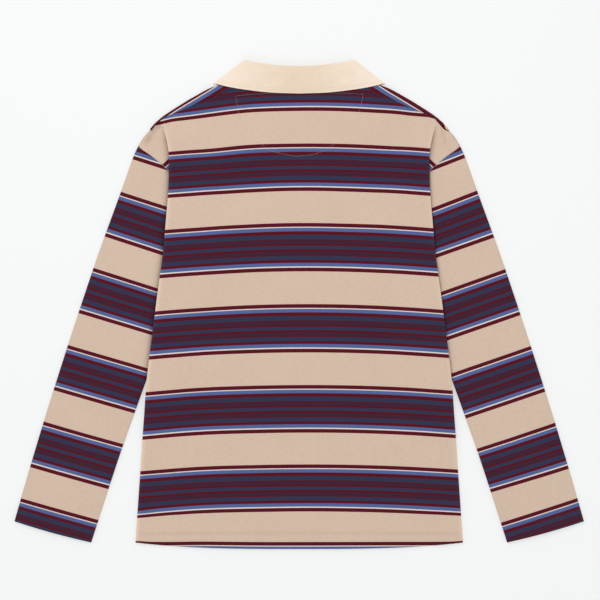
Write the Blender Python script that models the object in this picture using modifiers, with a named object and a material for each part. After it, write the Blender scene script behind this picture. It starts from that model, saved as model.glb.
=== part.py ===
"""Long-sleeved striped polo shirt, laid flat on its front with its back up.

Lengths are written in millimetres and turned into metres as each mesh is made. X runs across the
shirt, Y from the hem to the collar, Z up from the surface that the front lies on. The shirt is
the same on both sides, so `a` is the distance from the centre line.
"""

import math

import bmesh
import bpy
from mathutils import Vector

MM = 0.001

# Cloth
JERSEY = 1.15           # wall of the knit panels
TWILL = 1.3             # wall of the woven collar
SEAM_GAP = 0.4          # between two pieces at a seam
BEND = 0.85             # radius of a pressed fold, at the middle of the wall
LAYER = 2 * BEND        # from one layer to the next across a fold
FRONT_Z = JERSEY / 2    # the front lies on the surface
BACK_Z = FRONT_Z + LAYER

# The tuck at each armhole: the sleeve is brought in, so back and front fold in over its head
TUCK_LAYERS = 4                     # layers between the front and the back at the tuck
TUCK_RISE = TUCK_LAYERS * LAYER     # how far they lift the back
SLEEVE_RISE = 2 * LAYER             # how far the front's fold lifts the sleeve
TUCK_TOP = 279.0                    # where the tuck starts, at the shoulder seam
TUCK_FULL = 236.0                   # where it is fully folded
TUCK_EASE = 46.0                    # width over which the back comes down inside the tuck
UNDERARM_Y = 110.0                  # the underarm point, hidden in the tuck
UNDERARM_IN = 74.0                  # how far in from the body's edge it lies
TUCK_END = -200.0                   # the tuck has run out at the side seam here
TUCK_MARGIN = 6.0                   # the back is at its full height this far inside the inner fold
SLEEVE_FREE = -115.0                # the sleeve comes out from under the back here
STACK_END = -165.0                  # and no longer lifts its edge here
FOLDS_END = (-250.0, -190.0)        # the bare folds under the edge thin out between these heights
FOLDS_PRESSED = 0.3                 # how much the bare folds are pressed together
FOLD_OPENS = (-226.0, -192.0)       # the outer fold opens between these heights
OPEN_TURN = 60.0                    # into a plain turned edge of this many degrees
SEAM_BEND = 9.0                     # the under layer bends to the side seam over this width
SEAM_REACH = 1.0                    # and ends this far past the inner fold
SLEEVE_SLOPE = (3.0, 30.0)         # the sleeve comes down outside the body over this distance
SLEEVE_DOWN = -190.0                # and has come down inside it at this height

# Neck
NECK_Y = 330.0          # middle of the neck, for the rounds that lift the panels over the collar
COLLAR_REACH = 132.0    # half width of the collar's spread on the front
COLLAR_DROP = 112.0     # how far its points come down
POINT_LIFT = 1.7        # the front lies on the collar's points
COLLAR_ROUND = (1.04, 1.38)     # shares of that round between which the front comes down
NECK_ROUND = (0.75, 1.3)        # and between which the back does
NECK_LOFT = 3.6         # the open neck holds the back up
COLLAR_BEND = 1.2       # radius of the collar's roll

# Placket, on the hidden front
PLACKET_HALF = 15.0
PLACKET_LIFT = 2.8      # the buttons hold the placket off the surface
PLACKET_LOW = 112.0
PLACKET_SLOPE = (4.0, 45.0)     # beyond its half width, where the front comes down again
PLACKET_RAMP = 40.0             # below its end, the same
PLACKET_FADE = (264.0, 300.0)   # and above it, at the neck
SLIT_END = PLACKET_LOW + 8.0
STRIP_INSET = 0.7       # the strips stay this far inside the placket's edge
STRIP_EDGE = 0.25       # radius of their edges
STRIP_ENDS = (("placket_top", 0.9, 0), ("placket_under", 3.0, 1))   # end above the slit's, and layer
STRIP_NECK = 1.6        # their upper ends stay this far below the neck edge
STRIP_PITCH = 1.4       # from one strip to the next
BUTTON_WIDTH = 11.0
BUTTON_THICK = 2.2
BUTTON_CLEAR = 0.3
BUTTON_YS = (238.0, 194.0, 150.0)
# Outline of a button from the middle of its back to the middle of its dished face: (share of the
# radius, height), the face being down as the front is
BUTTON_PROFILE = ((0.0, 2.2), (0.8, 2.2), (1.0, 1.43), (1.0, 0.66), (0.85, 0.0), (0.72, 0.1),
                  (0.6, 0.6), (0.0, 0.7))
BUTTON_STEPS = 24

# Edge of the body from the tuck's top to the hem corner: (y, a)
BODY_EDGE = (
    (281.0, 203.5), (273.5, 203.2), (252.0, 199.6), (229.8, 195.6), (202.7, 195.1), (180.2, 195.6),
    (162.2, 196.8), (127.7, 199.6), (76.7, 204.2), (18.2, 212.2), (-44.9, 220.1), (-107.9, 227.6),
    (-199.4, 234.1), (-280.0, 239.9), (-355.9, 245.0),
)
# Shoulder fold from the neck to the shoulder tip: (a, y)
SHOULDER = (
    (88.0, 331.5), (104.0, 331.0), (118.0, 329.4), (128.0, 328.0), (139.0, 324.6), (170.4, 307.2),
    (198.9, 289.2), (208.0, 283.0), (214.8, 277.0), (220.4, 271.0), (224.6, 264.8),
)
SHOULDER_TIP = (240.8, 237.9)
# Armhole seam from the shoulder tip to the underarm: (a, y)
ARMHOLE = (
    (240.8, 237.9), (230.0, 229.6), (217.0, 219.9), (204.8, 210.2), (190.0, 195.0), (176.0, 175.0),
    (163.0, 150.0), (153.0, 128.0), (145.0, 112.0),
)
# Sleeve's outer edge and inner edge down to the cuff: (share of the length, a, y)
SLEEVE_OUT = (
    (0.0, 240.8, 237.9), (0.03, 248.0, 225.5), (0.06, 254.0, 210.0), (0.12, 265.9, 174.0),
    (0.3, 302.0, 72.3), (0.5, 339.8, -40.7), (0.7, 375.9, -153.6), (0.85, 401.6, -238.4),
    (1.0, 426.0, -323.1),
)
SLEEVE_IN = (
    (0.0, 145.0, 112.0), (0.06, 155.0, 88.0), (0.14, 171.0, 50.0), (0.3, 195.9, -20.8),
    (0.5, 229.4, -112.4), (0.7, 264.3, -209.3), (0.85, 288.4, -281.9), (1.0, 311.9, -354.6),
)
HEAD_SHARE = 0.15       # the sleeve's head follows the armhole's curve down to this share
HEAD_GAP = 1.6 * SEAM_GAP       # measured along the sleeve, which crosses the seam at a slant
SLEEVE_ROWS = (0.0, 0.03, 0.06, 0.1, 0.15, 0.2, 0.25, 0.3, 0.36, 0.42, 0.47, 0.52, 0.57, 0.63,
               0.72, 0.81, 0.9, 1.0)
SLEEVE_LOFT = 1.6       # air inside a sleeve that lies flat
LOFT_SHAPE = 0.7        # power of the sine across the sleeve: below 1 it is fuller near the edges
LOFT_STARTS = (0.02, 0.2)       # shares of the length over which the air comes in
LOFT_CLEAR = (2.0, 30.0)        # and distances from the back's edge, above the height where
LOFT_FREE = SLEEVE_FREE - 40.0  # the sleeve is free of it
CUFF_DIP = 1.2          # the cuff's edge bows a little

# Hem
HEM_SAG = 9.5           # the hem is lower in the middle than at the side seams
HEM_CURVE = 3.0         # and flat over the middle: the power of its fall from the centre
BACK_NECK_Y = 325.0     # back neck seam at the centre
NECK_SIDE = (88.0, 327.9)       # where neck and shoulder seam meet
SEAM_TURN = (203.0, 280.5)      # where the shoulder seam turns to the shoulder fold
SHOULDER_SLOPE = (NECK_SIDE[1] - SEAM_TURN[1]) / (SEAM_TURN[0] - NECK_SIDE[0])
# Shoulder seam, on the back: straight from the neck past the tuck, then to the fold
SHOULDER_SEAM = (NECK_SIDE, SEAM_TURN, (214.2, 270.2), (222.8, 262.4))
# Outline of the flap from the seam's end to the shoulder tip
FLAP_SHOULDER = (SHOULDER_SEAM[-1], (230.0, 255.4), (235.6, 247.6), SHOULDER_TIP)
FLAP_STOPS = ARMHOLE[-1][1] + 14.0      # the flap's rows stop this far above the underarm
TIP_ROW = 245.0                         # rows below this height meet the armhole

# Rows of both panels, by the height of the body's edge
EDGE_ROWS = (280.5, 274.0, 267.0, 259.0, 250.0, 240.0, 228.0, 212.0, 192.0, 170.0, 148.0, 128.0,
             108.0, 84.0, 50.0, 10.0, -40.0, -80.0, -112.0, -135.0, -160.0, -188.0, -206.0, -226.0,
             -250.0, -300.0, -355.9)
# Columns of the back, as shares of the half width
BACK_COLUMNS = (0.0, 0.08, 0.2, 0.32, 0.4436, 0.55, 0.65, 0.74, 0.82, 0.9, 0.96, 1.0)
# Neck edge of the front, from the placket to the shoulder, and where its columns fall to: (a, y, column)
FRONT_NECK = (
    (15.0, 258.5, 15.0), (27.0, 261.5, 25.0), (42.0, 270.0, 38.0), (64.0, 291.5, 62.0),
    (88.0, 331.5, 92.0),
)
FRONT_OUTER = (0.3, 0.6, 0.85, 1.0)     # shares of the rest of the front's half width
TUCK_START = 0.79       # share of the shoulder seam at which the tuck's columns begin
TUCK_PAST = 0.855       # and at which the flap's begin
FLAP_COLUMNS = (0.25, 0.5, 0.75, 1.0)

# Collar stations from the centre back to the side: neck seam, roll and leaf edge: (a, y) each
COLLAR_BACK = (
    ((0.0, 325.6), (0.0, 355.0), (0.0, 316.0)),
    ((29.0, 326.0), (28.0, 356.1), (43.0, 317.6)),
    ((58.0, 327.0), (55.0, 359.2), (85.0, 322.5)),
    ((76.0, 328.6), (71.0, 362.0), (109.0, 326.8)),
    ((85.3, 332.2), (79.5, 364.0), (124.7, 330.9)),
)
# and on from the side to the centre front; their neck seam follows the front's neck edge
COLLAR_FRONT = (
    ((85.3, 332.2), (79.5, 364.0), (124.7, 330.9)),
    ((63.5, 292.2), (58.0, 322.0), (112.0, 283.0)),
    ((41.6, 270.8), (38.0, 298.5), (88.0, 252.0)),
    ((26.8, 262.4), (23.5, 291.0), (68.0, 233.0)),
    ((15.0, 259.4), (12.5, 288.0), (56.0, 225.5)),
    ((1.0, 258.6), (1.0, 287.0), (48.0, 222.0)),
)
STAND_TOP_BACK = 10.0   # height of the stand's top edge at the back
STAND_TOP_FRONT = 3.05  # and at the front
SIDE_TURNS = (45, 90, 135)
LEAF_GAP = 0.3          # between the leaf and the back below it
LEAF_COLUMNS = (0.12, 0.3, 0.55, 0.8, 1.0)
STAND_COLUMNS = (0.0, 0.35, 0.7, 1.0)
ROLL_TURNS = (0, 45, 90, 135, 180)
FOLD_TURNS = (45, 90, 135, 180)
TURN = (45, 90, 135)    # round the edge of a sleeve
STRIP_TURNS = (0, 60, 120)      # round the shoulder fold
NEARBY = 0.02           # share of the shoulder fold between points that give its direction
FOLD_COLUMNS = 2 * len(FOLD_TURNS) + 2  # two folds and the under layer between them
TUCK_SHARES = tuple(TUCK_START + (TUCK_PAST - TUCK_START) * (k + 1) / FOLD_COLUMNS
                    for k in range(FOLD_COLUMNS))
TUCK_SHARES += tuple(TUCK_PAST + (1.0 - TUCK_PAST) * share for share in FLAP_COLUMNS)


def ease(low, high, x):
    """0 below low, 1 above high, smooth between them."""
    t = min(max((x - low) / (high - low), 0.0), 1.0)
    return t * t * (3.0 - 2.0 * t)


def mix(p, q, t):
    return tuple(u + (v - u) * t for u, v in zip(p, q))


def read_table(table, x):
    """Smooth reading of a table whose first column runs one way."""
    rows = sorted(table)
    x = min(max(x, rows[0][0]), rows[-1][0])
    k = next(i for i in range(len(rows) - 1) if x <= rows[i + 1][0])
    t = (x - rows[k][0]) / (rows[k + 1][0] - rows[k][0])
    values = []
    for c in range(1, len(rows[0])):
        def slope(i):
            low, high = max(i - 1, 0), min(i + 1, len(rows) - 1)
            return (rows[high][c] - rows[low][c]) / (rows[high][0] - rows[low][0])
        step = rows[k + 1][0] - rows[k][0]
        p, q = rows[k][c], rows[k + 1][c]
        m, n = slope(k) * step, slope(k + 1) * step
        values.append(p * (2 * t**3 - 3 * t**2 + 1) + m * (t**3 - 2 * t**2 + t)
                      + q * (3 * t**2 - 2 * t**3) + n * (t**3 - t**2))
    return tuple(values)


def along(path, t):
    """Point at share t of a path's length."""
    lengths = [math.dist(p, q) for p, q in zip(path, path[1:])]
    left = t * sum(lengths)
    for p, q, length in zip(path, path[1:], lengths):
        if left <= length or q is path[-1]:
            return mix(p, q, min(left / length, 1.0))
        left -= length


def body_edge(y):
    return read_table(BODY_EDGE, y)[0]


def valley(y):
    """Inner fold of the tuck: from its top to the underarm, then the hidden side seam."""
    underarm = body_edge(UNDERARM_Y) - UNDERARM_IN
    if y >= UNDERARM_Y:
        t = (TUCK_TOP - y) / (TUCK_TOP - UNDERARM_Y)
        return body_edge(TUCK_TOP) + (underarm - body_edge(TUCK_TOP)) * max(t, 0.0)
    return body_edge(y) - UNDERARM_IN * max((y - TUCK_END) / (UNDERARM_Y - TUCK_END), 0.0)


def tuck_amount(y):
    """How far the tuck is folded at this height."""
    return 1.0 - ease(TUCK_FULL, TUCK_TOP + 1.0, y)


def round_share(a, y):
    """1 on the edge of the round that the collar fills, less inside it."""
    return math.hypot(a / COLLAR_REACH, (y - NECK_Y) / COLLAR_DROP)


def placket_share(a, y):
    across = 1.0 - ease(PLACKET_HALF + PLACKET_SLOPE[0], PLACKET_HALF + PLACKET_SLOPE[1], a)
    return across * ease(PLACKET_LOW - PLACKET_RAMP, PLACKET_LOW, y) * (1.0 - ease(*PLACKET_FADE, y))


def front_lift(a, y):
    collar = POINT_LIFT * (1.0 - ease(*COLLAR_ROUND, round_share(a, y)))
    return max(collar, PLACKET_LIFT * placket_share(a, y))


def front_z(a, y):
    return FRONT_Z + front_lift(a, y)


def stack_rise(y):
    """Lift of the back's edge where the tuck is folded: the whole stack, then the bare folds."""
    bare = 2 * LAYER - FOLDS_PRESSED
    whole = ease(STACK_END, SLEEVE_FREE, y)
    return bare * ease(*FOLDS_END, y) + (TUCK_RISE - bare) * whole


def back_z(a, y):
    inner = valley(y) - TUCK_MARGIN
    tuck = stack_rise(y) * tuck_amount(y) * ease(inner - TUCK_EASE, inner, a)
    loft = NECK_LOFT * (1.0 - ease(*NECK_ROUND, round_share(a, y)))
    under_strip = STRIP_PITCH * placket_share(a, y)
    return BACK_Z + front_lift(a, y) + max(tuck, loft, under_strip)


def sleeve_rise(a, y):
    """Lift of the sleeve and of the flaps by the front's fold, easing away outside the body."""
    outside = 1.0 - ease(*SLEEVE_SLOPE, a - body_edge(y))
    return SLEEVE_RISE * outside * ease(SLEEVE_DOWN, SLEEVE_FREE, y)


def shoulder_fold(t):
    return along(SHOULDER, t)


def shoulder_seam(t):
    return along(SHOULDER_SEAM, t)


def armhole_rows():
    """Share of the armhole's length at which each row of the flap meets it."""
    rows = [y for y in EDGE_ROWS if FLAP_STOPS < y < TIP_ROW]
    return rows, [i / len(rows) for i in range(len(rows))]


def flap_end(row):
    """Outer end of a row past the tuck: down the shoulder to its tip, then along the armhole."""
    rows, shares = armhole_rows()
    if row in rows:
        return along(ARMHOLE, shares[rows.index(row)])
    above = [y for y in EDGE_ROWS if y > rows[0]]
    return along(FLAP_SHOULDER, above.index(row) / len(above))


def side_seam(row, level):
    """Height at which a panel's hidden edge stops, just short of the other's, at the side seam."""
    front_under = FRONT_Z + LAYER
    back_under = BACK_Z + stack_rise(row) - LAYER
    half, middle = (JERSEY + SEAM_GAP) / 2.0, (front_under + back_under) / 2.0
    return middle + half if level > middle else middle - half


def fold_columns(row, layer_z, flat_z, flat_from):
    """Points from the body's edge on: outer fold, under layer, inner fold and flap.

    layer_z holds the heights of the panel, its under layer and its flap; flat_z is the panel's
    height where the tuck has not begun, and flat_from the place of its last column there.
    """
    edge, inner, y = body_edge(row), valley(row), row
    panel, under, flap = layer_z
    turn = math.copysign(1.0, panel - under)
    has_flap = row > FLAP_STOPS
    width = edge - inner
    points = []
    opened = OPEN_TURN / FOLD_TURNS[-1]
    for angle in FOLD_TURNS:
        w = math.radians(angle * (opened + (1.0 - opened) * ease(*FOLD_OPENS, row)))
        points.append((edge - BEND + BEND * math.sin(w), y, panel - turn * BEND * (1.0 - math.cos(w))))
    if row > TUCK_END:
        seam_z = side_seam(row, under)
        flat_to = inner + (width * 0.5 if has_flap else min(SEAM_BEND, width * 0.5))
        points.append((flat_to, y, under))
        points.append((inner + BEND, y, under if has_flap else (under + seam_z) / 2.0))
        if not has_flap:
            points.append((inner - SEAM_REACH, y, seam_z))
    if not has_flap:
        return points
    for angle in FOLD_TURNS:
        w = math.radians(angle)
        points.append((inner + BEND - BEND * math.sin(w), y, under - turn * BEND * (1.0 - math.cos(w))))
    start, end = (inner + BEND, y), flap_end(row)
    for share in FLAP_COLUMNS:
        a, b = mix(start, end, share)
        points.append((a, b, flat_z + sleeve_rise(a, b)))
    amount = tuck_amount(row)
    if amount < 1.0:
        top = [shoulder_seam(share) for share in TUCK_SHARES]
        corner, last = shoulder_seam(TUCK_START), shoulder_seam(1.0)
        flat = []
        for k, (a, b) in enumerate(top):
            reach = (k + 1) / len(top)
            flat.append((a + (flat_from[0] - corner[0]) * (1.0 - reach) + (end[0] - last[0]) * reach,
                         b + (flat_from[1] - corner[1]) * (1.0 - reach) + (end[1] - last[1]) * reach,
                         flat_z))
        points = [mix(f, p, amount) for f, p in zip(flat, points)]
    return points


def row_drop(row):
    return (EDGE_ROWS[0] - row) / (EDGE_ROWS[0] - EDGE_ROWS[-1])


def back_row(row):
    """One row of the back's right half, from the centre to its outer end."""
    edge = body_edge(row) - BEND
    drop = row_drop(row)
    amount = tuck_amount(row)
    seam_end = shoulder_seam(TUCK_START)[0]
    edge = seam_end + (edge - seam_end) * amount
    points = []
    for share in BACK_COLUMNS:
        a = share * edge
        top_a = share * seam_end
        if top_a <= NECK_SIDE[0]:
            top = BACK_NECK_Y + (NECK_SIDE[1] - BACK_NECK_Y) * (top_a / NECK_SIDE[0]) ** 2
        else:
            top = NECK_SIDE[1] - (top_a - NECK_SIDE[0]) * SHOULDER_SLOPE
        y = row + (top - EDGE_ROWS[0]) * (1.0 - drop) ** 2 - HEM_SAG * drop * (1.0 - share**HEM_CURVE)
        points.append((a, y, back_z(a, y)))
    panel = BACK_Z + stack_rise(row)
    return points + fold_columns(row, (panel, panel - LAYER, panel - 2 * LAYER), BACK_Z,
                                 (points[-1][0], points[-1][1]))


def panel_mesh(name, rows):
    """Mesh of rows that may be of unlike length: faces only where both rows have points."""
    mesh = bpy.data.meshes.new(name)
    bm = bmesh.new()
    made = [[bm.verts.new(Vector(p) * MM) if p else None for p in row] for row in rows]
    for upper, lower in zip(made, made[1:]):
        for k in range(min(len(upper), len(lower)) - 1):
            corners = (upper[k], upper[k + 1], lower[k + 1], lower[k])
            if all(corners):
                bm.faces.new(corners)
    bmesh.ops.recalc_face_normals(bm, faces=bm.faces)
    bm.to_mesh(mesh)
    bm.free()
    return mesh


def material(name, colour, roughness):
    mat = bpy.data.materials.new(name)
    mat.use_nodes = True
    shader = mat.node_tree.nodes["Principled BSDF"]
    shader.inputs["Base Color"].default_value = (*colour, 1.0)
    shader.inputs["Roughness"].default_value = roughness
    shader.inputs["Metallic"].default_value = 0.0
    return mat


def place(name, mesh, mat, thickness=None, mirror=False):
    """Put a piece in the shirt's collection, mirrored and given its wall where it is a sheet."""
    piece = bpy.data.objects.new(name, mesh)
    bpy.data.collections["polo_shirt"].objects.link(piece)
    mesh.materials.append(mat)
    if mirror:
        half = piece.modifiers.new("other_half", "MIRROR")
        half.use_axis = (True, False, False)
        half.merge_threshold = 0.0001
    if thickness:
        wall = piece.modifiers.new("wall", "SOLIDIFY")
        wall.thickness = thickness * MM
        wall.offset = 0.0
    mesh.shade_smooth()
    return piece


def make_back(mat):
    place("back", panel_mesh("back", [back_row(row) for row in EDGE_ROWS]), mat, JERSEY, mirror=True)


def front_row(row):
    """One row of the front's lower side, from the placket's edge (or the centre) outwards."""
    drop = row_drop(row)
    amount = tuck_amount(row)
    edge = body_edge(row) - BEND
    fold_end = shoulder_fold(TUCK_START)[0]
    edge = fold_end + (edge - fold_end) * amount
    keep = (1.0 - drop) ** 2
    points = [None]
    for top_a, top_y, column in FRONT_NECK:
        a = column + (top_a - column) * keep
        y = row + (top_y - EDGE_ROWS[0]) * keep - HEM_SAG * drop * (1.0 - (a / edge) ** HEM_CURVE)
        points.append((a, y, front_z(a, y)))
    inner_a = points[-1][0]
    for share in FRONT_OUTER:
        a = inner_a + (edge - inner_a) * share
        top = shoulder_fold(TUCK_START * share)[1]
        y = row + (top - EDGE_ROWS[0]) * keep - HEM_SAG * drop * (1.0 - (a / edge) ** HEM_CURVE)
        points.append((a, y, front_z(a, y)))
    points += fold_columns(row, (FRONT_Z, FRONT_Z + LAYER, FRONT_Z + 2 * LAYER), FRONT_Z,
                           (points[-1][0], points[-1][1]))
    return points


def front_fold_rows():
    """The front's strip over the shoulder: seam on the back, then round the shoulder fold."""
    first = len(FRONT_NECK)
    shares = [0.0] + [TUCK_START * share for share in FRONT_OUTER] + list(TUCK_SHARES)
    seam, turned = [None] * first, [[None] * first for _ in STRIP_TURNS]
    lower = [None] * first
    for share in shares:
        a, y = shoulder_fold(share)
        p, q = shoulder_fold(max(share - NEARBY, 0.0)), shoulder_fold(min(share + NEARBY, 1.0))
        length = math.dist(p, q)
        out = (-(q[1] - p[1]) / length, (q[0] - p[0]) / length)
        radius = (back_z(a, y) - front_z(a, y)) / 2.0
        middle = (a - out[0] * radius, y - out[1] * radius, front_z(a, y) + radius)
        sa, sy = shoulder_seam(share)
        sa, sy = sa + out[0] * SEAM_GAP, sy + out[1] * SEAM_GAP
        seam.append((sa, sy, back_z(sa, sy)))
        for ring, angle in zip(turned, STRIP_TURNS):
            w = math.radians(angle)
            ring.append((middle[0] + out[0] * radius * math.sin(w),
                         middle[1] + out[1] * radius * math.sin(w), middle[2] + radius * math.cos(w)))
        lower.append((middle[0], middle[1], middle[2] - radius))
    return [seam] + turned, lower


def make_front(mat):
    over, lower = front_fold_rows()
    rows = [front_row(row) for row in EDGE_ROWS]
    rows[0] = rows[0][:len(FRONT_NECK)] + lower[len(FRONT_NECK):]
    slit_end = next(i for i, row in enumerate(rows) if row[1][1] < SLIT_END)
    for row in rows[slit_end:]:
        y = row[1][1] - (row[2][1] - row[1][1]) * 0.5
        row[0] = (0.0, y, front_z(0.0, y))
    slit = rows[slit_end][1][1]
    rows[slit_end][0] = (0.0, slit, front_z(0.0, slit))
    place("front", panel_mesh("front", over + rows), mat, JERSEY, mirror=True)
    return slit


def sleeve_section(share):
    """Ring of points round a flat sleeve, from its outer edge over the top and back below."""
    outer, inner = read_table(SLEEVE_OUT, share), read_table(SLEEVE_IN, share)
    _, columns = armhole_rows()
    columns = columns + [1.0]
    keep = max(1.0 - share / HEAD_SHARE, 0.0) ** 2
    across = Vector((inner[0] - outer[0], inner[1] - outer[1])).normalized()
    down = Vector((-across.y, across.x))
    top, bottom = [], []
    for column in columns:
        straight = mix(outer, inner, column)
        curved = Vector(along(ARMHOLE, column)) - Vector(mix(ARMHOLE[0], ARMHOLE[-1], column))
        a, y = straight[0] + curved.x * keep, straight[1] + curved.y * keep
        a, y = Vector((a, y)) + down * (HEAD_GAP * keep + CUFF_DIP * share * math.sin(math.pi * column))
        inset = BEND * (1.0 if column == 0.0 else -1.0 if column == 1.0 else 0.0)
        a, y = a + across.x * inset, y + across.y * inset
        base = FRONT_Z + sleeve_rise(a, y) * tuck_amount(y)
        room = math.sin(math.pi * column) ** LOFT_SHAPE * ease(*LOFT_STARTS, share) * SLEEVE_LOFT
        clear = ease(*LOFT_CLEAR, a - body_edge(y)) if y > LOFT_FREE else 1.0
        top.append((a, y, base + LAYER + room * clear))
        bottom.append((a, y, base))
    ring = list(top)
    for end, low, way in ((top[-1], bottom[-1], 1.0), (bottom[0], top[0], -1.0)):
        middle = mix(end, low, 0.5)
        half = (end[2] - low[2]) / 2.0
        for angle in TURN:
            w = math.radians(angle)
            ring.append((middle[0] + across.x * way * BEND * math.sin(w),
                         middle[1] + across.y * way * BEND * math.sin(w), middle[2] + half * math.cos(w)))
        if way > 0:
            ring += bottom[::-1]
    return ring


def tube_mesh(name, rings, side):
    mesh = bpy.data.meshes.new(name)
    bm = bmesh.new()
    made = [[bm.verts.new((p[0] * side * MM, p[1] * MM, p[2] * MM)) for p in ring] for ring in rings]
    for upper, lower in zip(made, made[1:]):
        for k in range(len(upper)):
            n = (k + 1) % len(upper)
            bm.faces.new((upper[k], upper[n], lower[n], lower[k]))
    bmesh.ops.recalc_face_normals(bm, faces=bm.faces)
    bm.to_mesh(mesh)
    bm.free()
    return mesh


def make_sleeves(mat):
    rings = [sleeve_section(share) for share in SLEEVE_ROWS]
    for name, side in (("sleeve_left", -1.0), ("sleeve_right", 1.0)):
        place(name, tube_mesh(name, rings, side), mat, JERSEY)


def collar_sections():
    """(neck, roll, leaf edge, outward) for each station round the neck, as 3-D points."""
    sections = []
    for neck, roll, leaf in COLLAR_BACK:
        leaf_z = back_z(*leaf) + JERSEY / 2 + LEAF_GAP + TWILL / 2
        sections.append(((*neck, back_z(*neck)), (*roll, STAND_TOP_BACK), (*leaf, leaf_z), (0.0, 0.0, 1.0)))
    front = []
    for neck, roll, leaf in COLLAR_FRONT:
        low = TWILL / 2
        front.append(((*neck, front_z(*neck)), (*roll, STAND_TOP_FRONT), (*leaf, low), (0.0, 0.0, -1.0)))
    for angle in SIDE_TURNS:
        w = math.radians(angle)
        turned = []
        for k in range(3):
            high, low = sections[len(COLLAR_BACK) - 1][k], front[0][k]
            middle, radius = mix(high, low, 0.5), (high[2] - low[2]) / 2.0
            turned.append((middle[0] + radius * math.sin(w), middle[1], middle[2] + radius * math.cos(w)))
        sections.append((*turned, (math.sin(w), 0.0, math.cos(w))))
    return sections + front


def make_collar(mat):
    stand_rows, leaf_rows = [], []
    sections = [[Vector(v) for v in section] for section in collar_sections()]
    for number, (neck, roll, leaf, outward) in enumerate(sections):
        before, after = sections[max(number - 1, 0)][1], sections[min(number + 1, len(sections) - 1)][1]
        line = (after - before).normalized()
        up = (roll - neck).normalized()
        rise = (up - line * up.dot(line)).normalized()
        top = roll - up * SEAM_GAP / up.dot(rise)
        stand_rows.append([tuple(neck.lerp(top, share)) for share in STAND_COLUMNS])
        middle = roll + outward * COLLAR_BEND
        leaf_row = []
        for angle in ROLL_TURNS:
            w = math.radians(angle)
            leaf_row.append(tuple(middle + (rise * math.sin(w) - outward * math.cos(w)) * COLLAR_BEND))
        start = roll + outward * 2.0 * COLLAR_BEND
        leaf_row += [tuple(start.lerp(leaf, share)) for share in LEAF_COLUMNS]
        leaf_rows.append(leaf_row)
    place("collar_stand", panel_mesh("collar_stand", stand_rows), mat, TWILL, mirror=True)
    place("collar_fall", panel_mesh("collar_fall", leaf_rows), mat, TWILL, mirror=True)


def make_strip(name, mat, low, high, z):
    """One woven strip of the placket, a flat bar with its edges rounded."""
    mesh = bpy.data.meshes.new(name)
    bm = bmesh.new()
    bmesh.ops.create_cube(bm, size=1.0)
    size = Vector((2.0 * (PLACKET_HALF - STRIP_INSET), high - low, JERSEY)) * MM
    bmesh.ops.scale(bm, vec=size, verts=bm.verts)
    bm.to_mesh(mesh)
    bm.free()
    piece = place(name, mesh, mat)
    piece.location = Vector((0.0, (low + high) / 2.0, z)) * MM
    edge = piece.modifiers.new("rounded_edge", "BEVEL")
    edge.width = STRIP_EDGE * MM
    edge.segments = 2


def make_placket(mat, slit):
    high = FRONT_NECK[0][1] - STRIP_NECK
    for name, end, layer in STRIP_ENDS:
        make_strip(name, mat, slit + end, high, FRONT_Z + PLACKET_LIFT + layer * STRIP_PITCH)


def make_buttons(mat):
    """Turned buttons with a raised rim round a dished middle."""
    mesh = bpy.data.meshes.new("button")
    outline = [(share * BUTTON_WIDTH / 2.0 * MM, 0.0, z * MM) for share, z in BUTTON_PROFILE]
    mesh.from_pydata(outline, [(i, i + 1) for i in range(len(outline) - 1)], [])
    mesh.materials.append(mat)
    for number, y in enumerate(BUTTON_YS, 1):
        piece = bpy.data.objects.new(f"button_{number}", mesh)
        bpy.data.collections["polo_shirt"].objects.link(piece)
        piece.location = Vector((0.0, y, PLACKET_LIFT - BUTTON_CLEAR - BUTTON_THICK)) * MM
        turned = piece.modifiers.new("turned", "SCREW")
        turned.steps = turned.render_steps = BUTTON_STEPS
        turned.use_merge_vertices = True
        turned.merge_threshold = 0.0001
        turned.use_smooth_shade = True


def main():
    for old in list(bpy.data.objects):
        bpy.data.objects.remove(old, do_unlink=True)
    shirt = bpy.data.collections.new("polo_shirt")
    bpy.context.scene.collection.children.link(shirt)
    jersey = material("striped_jersey", (0.30, 0.16, 0.16), 0.85)
    twill = material("collar_twill", (0.88, 0.76, 0.63), 0.75)
    shell = material("button_shell", (0.85, 0.78, 0.68), 0.35)
    make_back(jersey)
    slit = make_front(jersey)
    make_sleeves(jersey)
    make_collar(twill)
    make_placket(twill, slit)
    make_buttons(shell)


main()
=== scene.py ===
"""Looks of the long-sleeved striped polo shirt, laid flat on its front with its back up.

Lengths are in millimetres, as in the CAD, and turned into metres as each mesh is made. X runs
across the shirt and `a` is the distance from its centre line, Y runs from the hem to the collar.
"""

import math

import bmesh
import bpy
import numpy as np
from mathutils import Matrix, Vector
from mathutils.bvhtree import BVHTree


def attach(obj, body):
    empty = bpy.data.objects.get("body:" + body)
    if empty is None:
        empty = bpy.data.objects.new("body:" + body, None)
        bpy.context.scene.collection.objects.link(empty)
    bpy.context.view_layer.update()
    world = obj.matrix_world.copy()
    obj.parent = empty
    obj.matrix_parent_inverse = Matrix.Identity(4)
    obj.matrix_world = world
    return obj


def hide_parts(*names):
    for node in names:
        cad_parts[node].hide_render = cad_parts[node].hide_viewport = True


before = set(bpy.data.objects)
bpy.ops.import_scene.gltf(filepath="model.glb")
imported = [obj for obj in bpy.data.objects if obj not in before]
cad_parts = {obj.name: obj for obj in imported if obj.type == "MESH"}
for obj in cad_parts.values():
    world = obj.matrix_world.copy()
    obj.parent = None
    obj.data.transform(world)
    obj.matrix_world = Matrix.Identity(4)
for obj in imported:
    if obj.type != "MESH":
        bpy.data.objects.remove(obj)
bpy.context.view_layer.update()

# ------------------------------------------------------------------------------------------ Back
# One panel of striped cotton single jersey, lying face up on the front. At each armhole it is
# folded under along the body's edge, because the sleeve has been brought in, and past a second
# fold its flap runs out over the sleeve's head to the armhole seam.
MM = 0.001
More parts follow.
